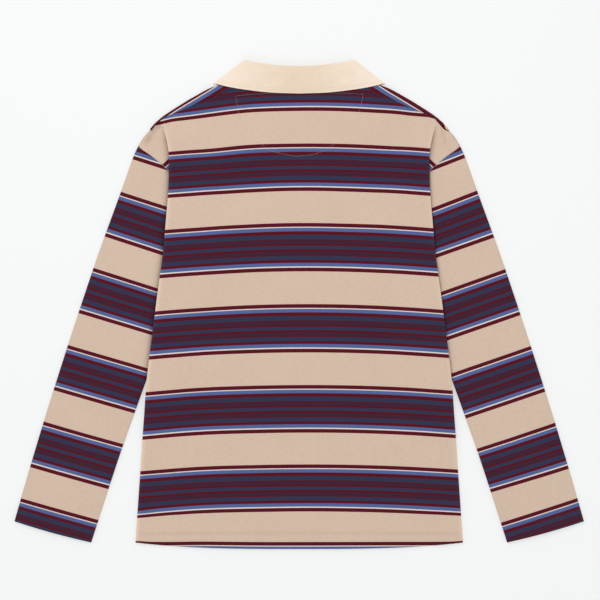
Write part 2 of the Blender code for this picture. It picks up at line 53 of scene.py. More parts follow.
JERSEY = 1.15           # wall of the knit
BEND = 0.85             # radius of a pressed fold
LAYER = 2 * BEND        # from one layer to the next across a fold
FRONT_Z = JERSEY / 2    # the front lies on the surface
BACK_Z = FRONT_Z + LAYER
# Edge of the body from the tuck's top to the hem corner: (y, a)
BODY_EDGE = (
    (281, 203.5), (273.5, 202.8), (252, 198.7), (229.8, 194.6), (202.7, 194.1), (180.2, 194.6),
    (162.2, 195.7), (127.7, 198.5), (76.7, 203.1), (18.2, 211.1), (-44.9, 219.1), (-107.9, 226.9),
    (-199.4, 234.1), (-280, 239.9), (-355.9, 245),
)


def ease(low, high, x):
    """0 below low, 1 above high, smooth between them."""
    t = np.clip((x - low) / (high - low), 0.0, 1.0)
    return t * t * (3.0 - 2.0 * t)


def mix(p, q, t):
    return tuple(u + (v - u) * t for u, v in zip(p, q))


def curve(p, q, m, n, t):
    """Smooth curve from p to q, which it passes with the slopes m and n."""
    return (p * (2 * t**3 - 3 * t**2 + 1) + m * (t**3 - 2 * t**2 + t)
            + q * (3 * t**2 - 2 * t**3) + n * (t**3 - t**2))


def read_table(table, x):
    """Smooth reading of a table whose first column runs one way."""
    rows = sorted(table)
    x = min(max(x, rows[0][0]), rows[-1][0])
    k = next(i for i in range(len(rows) - 1) if x <= rows[i + 1][0])
    step = rows[k + 1][0] - rows[k][0]

    def slope(i, c):
        low, high = rows[max(i - 1, 0)], rows[min(i + 1, len(rows) - 1)]
        return (high[c] - low[c]) / (high[0] - low[0]) * step

    return tuple(curve(rows[k][c], rows[k + 1][c], slope(k, c), slope(k + 1, c), (x - rows[k][0]) / step)
                 for c in range(1, len(rows[0])))


def along(path, t):
    """Point at share t of a path's length."""
    lengths = [math.dist(p, q) for p, q in zip(path, path[1:])]
    left = t * sum(lengths)
    for p, q, length in zip(path, path[1:], lengths):
        if left <= length or q is path[-1]:
            return mix(p, q, min(left / length, 1.0))
        left -= length


def body_edge(y):
    return read_table(BODY_EDGE, y)[0]


TUCK_TOP, TUCK_FULL = 279.0, 246.0      # where the tuck starts, and where it is fully folded
TUCK_END = -200.0       # and where it has run out at the side seam
UNDERARM_Y, UNDERARM_IN = 110.0, 74.0   # height of the hidden underarm, and how far in it lies


def valley(y):
    """Inner fold of the tuck: from its top to the underarm, then the hidden side seam."""
    if y >= UNDERARM_Y:
        top, underarm = body_edge(TUCK_TOP), body_edge(UNDERARM_Y) - UNDERARM_IN
        return top + (underarm - top) * max((TUCK_TOP - y) / (TUCK_TOP - UNDERARM_Y), 0.0)
    return body_edge(y) - UNDERARM_IN * max((y - TUCK_END) / (UNDERARM_Y - TUCK_END), 0.0)


def tuck_amount(y):
    return 1.0 - ease(TUCK_FULL, TUCK_TOP + 1.0, y)


NECK_Y = 330.0
COLLAR_REACH, COLLAR_DROP = 132.0, 112.0    # half width and depth of the collar's spread in front
POINT_LIFT = 1.7        # the front lies on the collar's points
COLLAR_ROUND, NECK_ROUND = (1.04, 1.38), (0.75, 1.3)    # shares where the front and back come down
NECK_LOFT = 3.6         # the open neck holds the back up
PLACKET_HALF, PLACKET_LOW = 15.0, 112.0
PLACKET_LIFT = 2.8      # the buttons hold the placket off the surface
PLACKET_SLOPE, PLACKET_RAMP, PLACKET_FADE = (4.0, 45.0), 40.0, (264.0, 300.0)
STRIP_PITCH = 1.4       # from one placket strip to the next


def round_share(a, y):
    """1 on the edge of the round that the collar fills, less inside it."""
    return math.hypot(a / COLLAR_REACH, (y - NECK_Y) / COLLAR_DROP)


def placket_share(a, y):
    across = 1.0 - ease(PLACKET_HALF + PLACKET_SLOPE[0], PLACKET_HALF + PLACKET_SLOPE[1], a)
    return across * ease(PLACKET_LOW - PLACKET_RAMP, PLACKET_LOW, y) * (1.0 - ease(*PLACKET_FADE, y))


def front_z(a, y):
    collar = POINT_LIFT * (1.0 - ease(*COLLAR_ROUND, round_share(a, y)))
    return FRONT_Z + max(collar, PLACKET_LIFT * placket_share(a, y))


TUCK_RISE = 4 * LAYER   # four layers lie between the front and the back at the tuck
TUCK_EASE, TUCK_MARGIN = 46.0, 6.0      # the back comes down over this width, from this far inside it
SLEEVE_FREE = -115.0    # the sleeve comes out from under the back here
STACK_END = -165.0      # and no longer lifts its edge here
FOLDS_END = (-250.0, -190.0)        # the bare folds under the edge thin out between these heights
BARE_RISE = 2 * LAYER - 0.3         # lift of the bare folds, pressed together a little


def stack_rise(y):
    """Lift of the back's edge where the tuck is folded: the whole stack, then the bare folds."""
    return BARE_RISE * ease(*FOLDS_END, y) + (TUCK_RISE - BARE_RISE) * ease(STACK_END, SLEEVE_FREE, y)


def back_z(a, y):
    inner = valley(y) - TUCK_MARGIN
    tuck = stack_rise(y) * tuck_amount(y) * ease(inner - TUCK_EASE, inner, a)
    loft = NECK_LOFT * (1.0 - ease(*NECK_ROUND, round_share(a, y)))
    return front_z(a, y) + LAYER + max(tuck, loft, STRIP_PITCH * placket_share(a, y))


SLEEVE_RISE = 2 * LAYER     # lift of the sleeve by the front's fold
SLEEVE_SLOPE = (1.0, 26.0)  # it comes down outside the body over this distance
SLEEVE_DOWN = -190.0        # and has come down inside it at this height


def sleeve_rise(a, y):
    """Lift of the sleeve and of the flaps, easing away outside the body."""
    outside = 1.0 - ease(*SLEEVE_SLOPE, a - body_edge(y))
    return SLEEVE_RISE * outside * ease(SLEEVE_DOWN, SLEEVE_FREE, y)


# Armhole seam from the shoulder tip to the underarm: (a, y)
ARMHOLE = (
    (240.8, 237.9), (230, 229.6), (217, 219.9), (204.8, 210.2), (190, 195), (176, 175),
    (163, 150), (153, 128), (145, 112),
)
NECK_SIDE = (88.0, 327.9)       # where neck and shoulder seam meet
SEAM_TURN = (203.0, 280.5)      # where the shoulder seam turns to the shoulder fold
# Shoulder seam, on the back, and the flap's outline from its end to the shoulder tip
SHOULDER_SEAM = (NECK_SIDE, SEAM_TURN, (214.2, 270.2), (222.8, 262.4))
FLAP_SHOULDER = (SHOULDER_SEAM[-1], (230.0, 255.4), (235.6, 247.6), ARMHOLE[0])
# Rows of both panels, by the height of the body's edge
EDGE_ROWS = (280.5, 274, 267, 259, 250, 240, 228, 212, 192, 170, 148, 128,
             108, 84, 50, 10, -40, -80, -112, -135, -160, -188, -206, -226,
             -250, -300, -355.9)
FLAP_STOPS = ARMHOLE[-1][1] + 14.0      # the flap's rows stop this far above the underarm
TIP_ROW = 245.0         # rows below this height meet the armhole
FLAP_COLUMNS = (0.25, 0.5, 0.75, 1.0)
FOLD_TURNS = (45, 90, 135, 180)
FOLD_OPENS, OPEN_SHARE = (-226.0, -192.0), 1.0 / 3.0    # the outer fold opens to a third of its turn
SEAM_BEND = 9.0         # the under layer bends to the side seam over this width
TUCK_START, TUCK_PAST = 0.79, 0.855     # shares of the shoulder seam at which the tuck starts and ends
FOLD_COLUMNS = 2 * len(FOLD_TURNS) + 2
TUCK_SHARES = [TUCK_START + (TUCK_PAST - TUCK_START) * (k + 1) / FOLD_COLUMNS for k in range(FOLD_COLUMNS)]
TUCK_SHARES += [TUCK_PAST + (1.0 - TUCK_PAST) * share for share in FLAP_COLUMNS]
MISSING = (math.nan,) * 3


def flap_end(row):
    """Outer end of a row past the tuck: down the shoulder to its tip, then along the armhole."""
    rows = [y for y in EDGE_ROWS if FLAP_STOPS < y < TIP_ROW]
    if row in rows:
        return along(ARMHOLE, rows.index(row) / len(rows))
    above = [y for y in EDGE_ROWS if y > rows[0]]
    return along(FLAP_SHOULDER, above.index(row) / len(above))


def arc(middle, way, radius, rise, turns):
    """Points of a fold: out from its middle by the radius, and from the rise above it to below."""
    return [(middle[0] + way[0] * radius * math.sin(w), middle[1] + way[1] * radius * math.sin(w),
             middle[2] + rise * math.cos(w)) for w in map(math.radians, turns)]


def fold_columns(row, panel, under, flat_z, flat_from):
    """Points from the body's edge on: outer fold, under layer, inner fold and flap."""
    edge, inner = body_edge(row), valley(row)
    rise = math.copysign(BEND, panel - under)
    has_flap = row > FLAP_STOPS
    closed = OPEN_SHARE + (1.0 - OPEN_SHARE) * ease(*FOLD_OPENS, row)
    points = arc((edge - BEND, row, panel - rise), (1.0, 0.0), BEND, rise, [t * closed for t in FOLD_TURNS])
    if row > TUCK_END:
        half = (edge - inner) * 0.5
        points += [(inner + (half if has_flap else min(SEAM_BEND, half)), row, under),
                   (inner + BEND, row, under)]
    if not has_flap:
        return points + [MISSING] * (len(TUCK_SHARES) - len(points))
    points += arc((inner + BEND, row, under - rise), (-1.0, 0.0), BEND, rise, FOLD_TURNS)
    end = flap_end(row)
    for share in FLAP_COLUMNS:
        a, y = mix((inner + BEND, row), end, share)
        points.append((a, y, flat_z + sleeve_rise(a, y)))
    if tuck_amount(row) == 1.0:
        return points
    # Above the tuck the cloth lies flat, shifted from the shoulder seam to meet both ends of the row
    start, last = along(SHOULDER_SEAM, TUCK_START), SHOULDER_SEAM[-1]
    flat = []
    for k, share in enumerate(TUCK_SHARES):
        shift = mix((flat_from[0] - start[0], flat_from[1] - start[1]), (end[0] - last[0], end[1] - last[1]),
                    (k + 1) / len(TUCK_SHARES))
        a, y = along(SHOULDER_SEAM, share)
        flat.append((a + shift[0], y + shift[1], flat_z))
    return [mix(f, p, tuck_amount(row)) for f, p in zip(flat, points)]


BACK_COLUMNS = (0.0, 0.08, 0.2, 0.32, 0.4436, 0.55, 0.65, 0.74, 0.82, 0.9, 0.96, 1.0)
BACK_SPACING = 4.5      # between the points of the cloth
BACK_NECK_Y = 325.0
SHOULDER_SLOPE = (NECK_SIDE[1] - SEAM_TURN[1]) / (SEAM_TURN[0] - NECK_SIDE[0])
HEM_SAG, HEM_CURVE = 9.5, 3.0       # the hem is lower in the middle than at the side seams


def row_drop(row):
    """0 for the top row and 1 for the hem."""
    return (EDGE_ROWS[0] - row) / (EDGE_ROWS[0] - EDGE_ROWS[-1])


def back_row(row):
    """One row of the back's right half, from the centre to its outer end."""
    drop, seam_end = row_drop(row), along(SHOULDER_SEAM, TUCK_START)[0]
    edge = seam_end + (body_edge(row) - BEND - seam_end) * tuck_amount(row)
    points = []
    for share in BACK_COLUMNS:
        a, top_a = share * edge, share * seam_end
        if top_a <= NECK_SIDE[0]:
            top = BACK_NECK_Y + (NECK_SIDE[1] - BACK_NECK_Y) * (top_a / NECK_SIDE[0]) ** 2
        else:
            top = NECK_SIDE[1] - (top_a - NECK_SIDE[0]) * SHOULDER_SLOPE
        y = row + (top - EDGE_ROWS[0]) * (1.0 - drop) ** 2 - HEM_SAG * drop * (1.0 - share**HEM_CURVE)
        points.append((a, y, back_z(a, y)))
    panel = BACK_Z + stack_rise(row)
    return points + fold_columns(row, panel, panel - LAYER, BACK_Z, points[-1][:2])


def refine(grid, parts):
    """Smooth curves down the columns of a grid of points; gap i gets parts[i] steps."""
    step = np.diff(grid, axis=0)
    length = np.maximum(np.linalg.norm(step, axis=2, keepdims=True), 1e-6)
    none = np.full_like(grid[:1], math.nan)
    slope = np.concatenate((none, (step[1:] + step[:-1]) / (length[1:] + length[:-1]), none))
    for one_sided in (np.concatenate((step / length, none)), np.concatenate((none, step / length))):
        slope = np.where(np.isnan(slope), one_sided, slope)
    out = []
    for i, count in enumerate(parts):
        ends = grid[i], grid[i + 1], slope[i] * length[i], slope[i + 1] * length[i]
        out += [grid[i]] + [curve(*ends, k / count) for k in range(1, count)]
    return np.array(out + [grid[-1]])


def steps_for(grid, spacing):
    """How many steps each gap of the grid's rows needs for points about that far apart."""
    gaps = np.nanmax(np.linalg.norm(np.diff(grid, axis=0), axis=2), axis=1)
    return [max(1, round(gap / spacing)) for gap in gaps]


def refined(grid, spacing):
    """The grid with points about `spacing` apart both ways, and how many columns each gap became."""
    across = refine(grid, steps_for(grid, spacing)).transpose(1, 0, 2)
    parts = steps_for(across, spacing)
    return refine(across, parts).transpose(1, 0, 2), parts


WANDER, SWELL = (0.12, 7.0), (0.3, 9.0)     # share of a fold's width or height, and how often
LEAN = (0.8, 1.25)      # a fold is steeper on one side than on the other
FADE = 3.0              # each end of a fold fades over a third of its length


def soft_folds(x, y, folds):
    """Height of soft ridges and troughs, each bowed, uneven along its run and fading at its ends."""
    rise = np.zeros_like(x)
    for number, (x0, y0, x1, y1, bow, width, height) in enumerate(folds):
        dx, dy = x1 - x0, y1 - y0
        length = math.hypot(dx, dy)
        t = ((x - x0) * dx + (y - y0) * dy) / length**2
        off = ((x - x0) * dy - (y - y0) * dx) / length - bow * 4.0 * t * (1.0 - t)
        off += WANDER[0] * width * np.sin(WANDER[1] * t + number)
        fade = ease(0.0, 1.0, FADE * np.minimum(t, 1.0 - t))
        swell = 1.0 + SWELL[0] * np.sin(SWELL[1] * t + 2.0 * number)
        rise += height * fade * swell * np.exp(-(off / (width * np.where(off > 0.0, LEAN[1], LEAN[0]))) ** 2)
    return rise


REPEAT = 120.3          # one repeat of the stripes, down the cloth
# Stripes of one repeat, from the top: (main yarn, second yarn, width). The beige fills the rest.
STRIPES = (
    ("maroon_edge", "maroon_edge", 0.8), ("maroon", "maroon", 4.8), ("cream", "cream", 1.75),
    ("blue", "blue_dark", 5.25), ("red", "red", 4.75), ("navy", "navy", 6.6), ("red", "red", 1.8),
    ("navy_deep", "red_deep", 4.95), ("red", "red", 3), ("navy", "navy", 5.2), ("red", "red", 3.2),
    ("navy_deep", "red_deep", 4.9), ("red", "red", 1.65), ("navy", "navy", 5.95), ("red", "red", 4.2),
    ("blue", "blue_dark", 5.35), ("cream", "cream", 1.95), ("maroon", "maroon", 4.95),
    ("maroon_edge", "maroon_edge", 0.8),
)
BEIGE_WIDTH = REPEAT - sum(width for _, _, width in STRIPES)
# Yarns, as the eye sees them: red, green, blue from 0 to 255
YARNS = {
    "beige": (213, 189, 169), "cream": (224, 213, 202), "maroon": (86, 8, 28), "red": (88, 8, 24),
    "maroon_edge": (122, 12, 40), "navy": (46, 51, 78), "blue": (86, 105, 157),
    "blue_dark": (74, 92, 144), "navy_deep": (38, 42, 66), "red_deep": (78, 8, 24),
}
WALE, COURSE = 1.1, 0.85        # stitch of the knit, across and down
ZIGZAG = 0.16           # a stripe's edge steps this much with each wale
TWO_YARNS, SECOND_YARN = 3.2, (0.5, 0.45)       # pitch at which two yarns mix, and the second's share
LEG_SLANT, LEG_HEIGHT, GROOVE_DEPTH = 1.1, 0.35, 0.8    # of the knit's V, in stitches


def light_colour(yarn):
    """A colour from 0 to 255 as the eye sees it, turned into the shader's own units."""
    return tuple(((c / 255.0 + 0.055) / 1.055) ** 2.4 for c in yarn) + (1.0,)


def node(tree, kind, feeds, **settings):
    """Outputs of a new shader node, with its settings and what feeds its sockets."""
    made = tree.nodes.new("ShaderNode" + kind)
    for setting, value in settings.items():
        setattr(made, setting, value)
    for socket, value in feeds.items():
        if isinstance(value, bpy.types.NodeSocket):
            tree.links.new(value, made.inputs[socket])
        else:
            made.inputs[socket].default_value = value
    return made.outputs


def node_group(name, inputs, outputs):
    """An empty shader group with its sockets, and its two end nodes."""
    group = bpy.data.node_groups.new(name, "ShaderNodeTree")
    for way, sockets in (("INPUT", inputs), ("OUTPUT", outputs)):
        for socket, kind in sockets.items():
            group.interface.new_socket(name=socket, in_out=way, socket_type="NodeSocket" + kind)
    return group, group.nodes.new("NodeGroupInput").outputs, group.nodes.new("NodeGroupOutput").inputs


def reckon(tree, operation, *values):
    return node(tree, "Math", dict(enumerate(values)), operation=operation)[0]


def colour_mix(tree, share, first, second):
    return node(tree, "Mix", {0: share, 6: first, 7: second}, data_type="RGBA")[2]


def speckle(tree, vector, scale, down=1.0, detail=2.0):
    """Soft noise on a vector in metres, that many times finer down the cloth."""
    place = node(tree, "VectorMath", {0: vector, 1: (scale, scale * down, scale)}, operation="MULTIPLY")[0]
    return node(tree, "TexNoise", {"Vector": place, "Scale": 1.0, "Detail": detail})["Fac"]


def bump(tree, height, distance, strength, **under):
    return node(tree, "Bump", {"Height": height, "Distance": distance, "Strength": strength, **under})[0]


def shade_by(tree, colour, amount, low, high):
    """The colour times a factor that goes from low to high with the amount."""
    factor = node(tree, "MapRange", {"Value": amount, "To Min": low, "To Max": high})[0]
    return node(tree, "VectorMath", {0: colour, "Scale": factor}, operation="SCALE")[0]


def shade_marked(tree, colour, **factors):
    """The colour times a factor wherever the mesh is marked, for each kind of mark, here painted highlight
    and painted shade.
    """
    for name, factor in factors.items():
        colour = shade_by(tree, colour, node(tree, "Attribute", {}, attribute_name=name)["Fac"], 1.0, factor)
    return colour


def stripe_ramp(tree, position, second):
    made = tree.nodes.new("ShaderNodeValToRGB")
    ramp = made.color_ramp
    ramp.interpolation = "CONSTANT"
    ramp.elements[0].color = ramp.elements[1].color = light_colour(YARNS["beige"])
    start = BEIGE_WIDTH
    for *yarns, width in STRIPES:
        ramp.elements.new(start / REPEAT).color = light_colour(YARNS[yarns[second]])
        start += width
    tree.links.new(position, made.inputs[0])
    return made.outputs[0]


def make_stripes():
    """Yarn colours of the striped jersey; the cloth vector is (across, down the stripes) in metres."""
    tree, given, gives = node_group("jersey_stripes", {"Cloth": "Vector"}, {"Colour": "Color"})
    across, down, _ = node(tree, "SeparateXYZ", {0: given["Cloth"]})
    wale = reckon(tree, "SINE", reckon(tree, "MULTIPLY", across, 2 * math.pi / (WALE * MM)))
    zigzag = reckon(tree, "MULTIPLY_ADD", wale, ZIGZAG * MM, down)
    position = reckon(tree, "FRACT", reckon(tree, "DIVIDE", zigzag, REPEAT * MM))
    slant = reckon(tree, "MULTIPLY", reckon(tree, "ADD", across, down), 2 * math.pi / (TWO_YARNS * MM))
    share = reckon(tree, "MULTIPLY_ADD", reckon(tree, "SINE", slant), *SECOND_YARN)
    main, other = (stripe_ramp(tree, position, second) for second in (0, 1))
    tree.links.new(colour_mix(tree, share, main, other), gives["Colour"])
    return tree


def make_knit():
    """Single jersey: V-shaped stitches in columns, and the uneven yarn of each course."""
    tree, given, gives = node_group("knit", {"Cloth": "Vector", "Wale": "Float", "Course": "Float"},
                                    {"Height": "Float", "Heather": "Float"})
    across, down, _ = node(tree, "SeparateXYZ", {0: given["Cloth"]})
    across = reckon(tree, "FRACT", reckon(tree, "DIVIDE", across, given["Wale"]))
    from_middle = reckon(tree, "ABSOLUTE", reckon(tree, "SUBTRACT", across, 0.5))
    down = reckon(tree, "DIVIDE", down, given["Course"])
    slant = reckon(tree, "MULTIPLY_ADD", from_middle, LEG_SLANT, down)
    leg = reckon(tree, "SINE", reckon(tree, "MULTIPLY", slant, 2 * math.pi))
    groove = reckon(tree, "POWER", reckon(tree, "MULTIPLY", from_middle, 2.0), 3.0)
    height = reckon(tree, "SUBTRACT", reckon(tree, "MULTIPLY", leg, LEG_HEIGHT),
                    reckon(tree, "MULTIPLY", groove, GROOVE_DEPTH))
    tree.links.new(height, gives["Height"])
    tree.links.new(speckle(tree, given["Cloth"], 120.0, 9.0, 3.0), gives["Heather"])
    return tree


def new_material(name, roughness):
    """A new material, its tree and its shader's sockets."""
    material = bpy.data.materials.new(name)
    material.use_nodes = True
    shader = material.node_tree.nodes["Principled BSDF"].inputs
    shader["Roughness"].default_value = roughness
    return material, material.node_tree, shader


def cloth_material(name, roughness, sheen):
    """The same for cloth, with the cloth's own coordinates in metres."""
    material, tree, shader = new_material(name, roughness)
    shader["Sheen Weight"].default_value = sheen
    shader["Sheen Roughness"].default_value = 0.55
    shader["Specular IOR Level"].default_value = 0.15
    return material, tree, shader, node(tree, "UVMap", {}, uv_map="cloth")[0]


# Unevenness of the jersey's colour: (scale, times finer down the cloth, share)
JERSEY_SPECKLES = ((300.0, 1.6, 0.07), (14.0, 1.3, 0.04))
HEATHER = 0.14
stripes_group, knit_group = make_stripes(), make_knit()


def make_jersey():
    material, tree, shader, cloth = cloth_material("striped_jersey", 0.92, 0.06)
    colour = node(tree, "Group", {"Cloth": cloth}, node_tree=stripes_group)["Colour"]
    knit = node(tree, "Group", {"Cloth": cloth, "Wale": WALE * MM, "Course": COURSE * MM},
                node_tree=knit_group)
    colour = shade_by(tree, colour, knit["Heather"], 1.0 - HEATHER, 1.0 + HEATHER)
    for scale, finer, share in JERSEY_SPECKLES:
        colour = shade_by(tree, colour, speckle(tree, cloth, scale, finer), 1.0 - share, 1.0 + share)
    # Painted highlight along the back's folded edge, and painted shade beside it, on the flaps and sleeves,
    # and in the flap's troughs
    tree.links.new(shade_marked(tree, colour, pressed=1.3, sheltered=0.4), shader["Base Color"])
    ripple = bump(tree, speckle(tree, cloth, 45.0, 0.6), 1.0 * MM, 0.35)
    tree.links.new(bump(tree, knit["Height"], 0.12 * MM, 0.5, Normal=ripple), shader["Normal"])
    return material


striped_jersey = make_jersey()

BEIGE = BEIGE_WIDTH / REPEAT
# Both edges of each beige band, at the centre of the back: (y, repeat)
BACK_REPEATS = (
    (410.3, -1), (290, 0), (241.8, BEIGE), (170.6, 1), (123.3, 1 + BEIGE), (50.5, 2), (2, 2 + BEIGE),
    (-71, 3), (-119.2, 3 + BEIGE), (-191.1, 4), (-238.2, 4 + BEIGE), (-309.2, 5), (-354.4, 5 + BEIGE),
    (-425, 6),
)
# How much lower a stripe lies at 195 mm from the centre, by its height there, and how much lower
# it lies left of the middle: (y, drop, wave)
BACK_BOW = ((-355, -0.2, -0.9), (-309, 5.9, -0.9), (-238, 6, -0.9), (-192, 6.6, -0.8),
            (-120, 6.6, -0.6), (-70, 7.3, -0.3), (0, 8, 0.3), (123, 8.6, 1), (242, 9.8, 1.1),
            (291, 14.4, 0.5), (400, 14.4, 0))
BOW_AT = 195.0
WAVE_AT, WAVE_WIDTH = -145.0, 60.0
TILT = ((-355.0, 0.3), (-309.0, 1.05), (150.0, 1.05), (290.0, 3.2))      # the left side hangs lower
# How much further the stripes fall at the shoulders' tips: (x, drop), coming in over these heights
TIP_DROP = ((-225, 2.7), (-210, 2.7), (-200, 1.4), (-190, 0), (165, 0), (194, -1.6),
            (203, 0), (210.8, 9), (217.5, 17), (225, 22))
TIP_HEIGHTS = (245.0, 265.0)
# Small shifts of the stripes: (x, y, half width, half height, drop)
STRIPE_SHIFTS = (
    (-250, -356, 22, 10, -2.6), (252, -356, 18, 10, -2), (-248, -316, 34, 16, 2),
    (-75, 265, 45, 45, -1.4), (150, 292, 30, 25, -1.2),
)
FLAP_CORNER, FLAP_WAY = (205.5, 210.2), (0.68, 0.73)    # where its first beige ends, and the way down
FLAP_TURNS = (250.0, 262.0)     # its stripes turn between these heights


def straight(table, at, column=1):
    """Straight-line reading of a table on a whole array."""
    rows = sorted(table)
    return np.interp(at, [row[0] for row in rows], [row[column] for row in rows])


def body_stripes(x, y):
    """Place down the stripes, in repeats, of a point of the back or front."""
    u = x / BOW_AT
    wave = straight(BACK_BOW, y, 2) * np.exp(-((x - WAVE_AT) / WAVE_WIDTH) ** 2)
    level = y + straight(BACK_BOW, y) * u**2 - straight(TILT, y) * u + wave
    level += straight(TIP_DROP, x) * ease(*TIP_HEIGHTS, y)
    for x0, y0, wide, high, drop in STRIPE_SHIFTS:
        level += drop * np.exp(-((x - x0) / wide) ** 2 - ((y - y0) / high) ** 2)
    return straight(BACK_REPEATS, level)


def flap_stripes(x, y):
    """The same on the flap past the fold, whose stripes have turned with the sleeve."""
    across, down = FLAP_CORNER[0] - np.abs(x), FLAP_CORNER[1] - y
    turned = BEIGE + (FLAP_WAY[0] * across + FLAP_WAY[1] * down) / REPEAT
    return turned + (body_stripes(x, y) - turned) * ease(*FLAP_TURNS, y)


def put(name, form, material=None):
    """A new object of the scene from a mesh, lamp or camera."""
    if material:
        form.materials.append(material)
    placed = bpy.data.objects.new(name, form)
    bpy.context.scene.collection.objects.link(placed)
    return placed


def travelled(grid, axis):
    """Distance from the first row (0) or column (1) of a grid of points to each of the others."""
    start = np.zeros_like(grid.take([0], axis)[..., 0])
    step = np.nan_to_num(np.linalg.norm(np.diff(grid, axis=axis), axis=2))
    return np.concatenate((start, np.cumsum(step, axis=axis)), axis=axis)


def cloth_mesh(name, grid, down, material, across=None):
    """Piece from a grid of points with the cloth's own coordinates; faces where all corners are."""
    there = ~np.isnan(grid[..., 0])
    number = np.full(there.shape, -1)
    number[there] = np.arange(there.sum())
    corners = np.stack((number[:-1, :-1], number[:-1, 1:], number[1:, 1:], number[1:, :-1]), axis=-1)
    faces = corners[(corners >= 0).all(axis=-1)]
    if across is None:
        across = travelled(grid, 1)
        across = across - across[:, across.shape[1] // 2, None]
    mesh = bpy.data.meshes.new(name)
    mesh.from_pydata((grid[there] * MM).tolist(), [], faces.tolist())
    layer = mesh.uv_layers.new(name="cloth")
    vertex = np.empty(len(mesh.loops), dtype=np.int32)
    mesh.loops.foreach_get("vertex_index", vertex)
    cloth = np.stack((across[there] * MM, down[there] * REPEAT * MM), axis=-1)[vertex]
    layer.data.foreach_set("uv", cloth.astype(np.float32).ravel())
    mesh.shade_smooth()
    return put(name, mesh, material)


def mark(piece, grid, **shares):
    """Mark each point's share of painted highlight along a folded edge, and of painted shade beside that edge
    and in troughs.
    """
    there = ~np.isnan(grid[..., 0])
    for name, share in shares.items():
        layer = piece.data.attributes.new(name, "FLOAT", "POINT")
        layer.data.foreach_set("value", np.broadcast_to(share, there.shape)[there].astype(np.float32))


def dress(piece, node_name, wall=0.0):
    """The piece gets its wall, and stands for a node of the CAD model."""
    if wall:
        thick = piece.modifiers.new("wall", "SOLIDIFY")
        thick.thickness, thick.offset = wall * MM, 0.0
    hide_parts(node_name)
    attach(piece, "root")


def both_halves(right, axis=1):
    """The left half is the right one turned over, so that the grid runs from left to right."""
    left = np.delete(np.flip(right, axis), -1, axis)
    left[..., 0] *= -1.0
    return np.concatenate((left, right), axis=axis)


def blend_past(parts, first, last):
    """0 on the panel, 1 on the flap, rising over the hidden fold between two coarse columns."""
    place = np.concatenate([[0]] + [np.arange(1, count + 1) / count + i for i, count in enumerate(parts)])
    share = np.clip((place - first) / (last - first), 0.0, 1.0)
    return np.concatenate((share[:0:-1], share))[None]


# Soft folds of the back and of its flap: (x0, y0, x1, y1, bow, width, height)
BACK_FOLDS = (
    (-190, 262, -60, 205, 8, 16, 0.7), (188, 258, 84, 176, -9, 18, 0.8),
    (-186, 222, -96, 60, -14, 22, 0.7), (180, 196, 120, 20, 10, 24, 0.6),
    (-70, 300, -20, 150, 10, 20, 0.45), (60, 296, 34, 110, -8, 24, 0.5),
    (-150, 40, -40, -60, 12, 26, 0.6), (150, -10, 30, -120, -14, 28, 0.6),
    (-205, -60, -120, -190, 16, 24, -0.35), (206, -80, 128, -230, -12, 26, -0.35),
    (-90, -160, 70, -200, 10, 30, 0.5), (-214, -210, -150, -330, 10, 20, 0.9),
    (216, -226, 168, -334, -8, 18, 0.8), (-60, -250, -30, -345, 6, 22, 0.6),
    (96, -262, 60, -348, -6, 24, 0.6), (-120, 130, 100, 96, -8, 26, 0.4),
)
FLAP_FOLDS = (
    (-201, 268, -236, 236, 2, 4.5, 1.3), (-214, 277, -244, 238, 1, 3.5, 0.7),
    (-243, 244, -214, 206, -3, 5, 1.1), (206, 268, 236, 232, 3, 4.5, 1.2),
    (204, 256, 224, 222, 2, 4, -0.6), (216, 268, 243, 238, 3, 4, 1.3),
)
# Painted shade in the flap's troughs and beside the body's edge, in the same columns
FLAP_SHADES = (
    (-200, 280, -234, 236, 1, 3.8, 0.42), (-202, 250, -200, 216, 0, 3, 0.15),
    (204, 296, 193, 206, 1, 7, 0.66), (212, 272, 223, 232, 1, 2.2, 0.2),
    (226, 262, 240, 240, 1, 2.4, 0.12), (-233, 232, -214, 214, 2, 4, 0.1),
)
HIGHLIGHT_WIDTH, HIGHLIGHT_RIGHT = 1.8, 0.5       # width of the painted highlight along the body's folded edge, and its share on the right side
EDGE_PRESSED = (243.0, 273.0)   # the edge becomes a pressed fold down these heights
EDGE_RISE, EDGE_SOFT = 0.9, 13.0        # the folded edge stands up a little, and over what width
SHADE_LEFT, SHADE_RIGHT = (0.83, 4.6), (1.0, 2.4)       # share and width of the painted shade beside it, which stands in for its shadow
SHADE_FALL = 1.5        # how sharply it ends
FLAP_BLEND = (3, 9)     # columns past the edge over which the cloth becomes the flap's


def tucked_by(y):
    """How far the body's edge is a sharp fold at each height, which also scales its painted highlight: from
    the shoulder to the hem.
    """
    return np.clip((EDGE_PRESSED[1] - y) / (EDGE_PRESSED[1] - EDGE_PRESSED[0]), 0.0, 1.0)


def stacked_by(y):
    """How far the edge lies on the tuck and sleeve."""
    return tucked_by(y) * np.clip((y - STACK_END) / (SLEEVE_FREE - STACK_END), 0.0, 1.0)


def out_from_edge(x, y):
    """Distance out from the body's edge."""
    return np.abs(x) - np.vectorize(body_edge)(np.clip(np.nan_to_num(y), EDGE_ROWS[-1], EDGE_ROWS[0]))


def painted_shade_beside_edge(x, y):
    """Painted shade that stands in for the shadow the folded edge casts on the cloth beside it: narrow and
    deep on the right.
    """
    out = np.maximum(out_from_edge(x, y), 0.0)
    left, right = (share * np.exp(-(out / width) ** SHADE_FALL)
                   for share, width in (SHADE_LEFT, SHADE_RIGHT))
    return np.where(x < 0.0, left, right) * stacked_by(y)


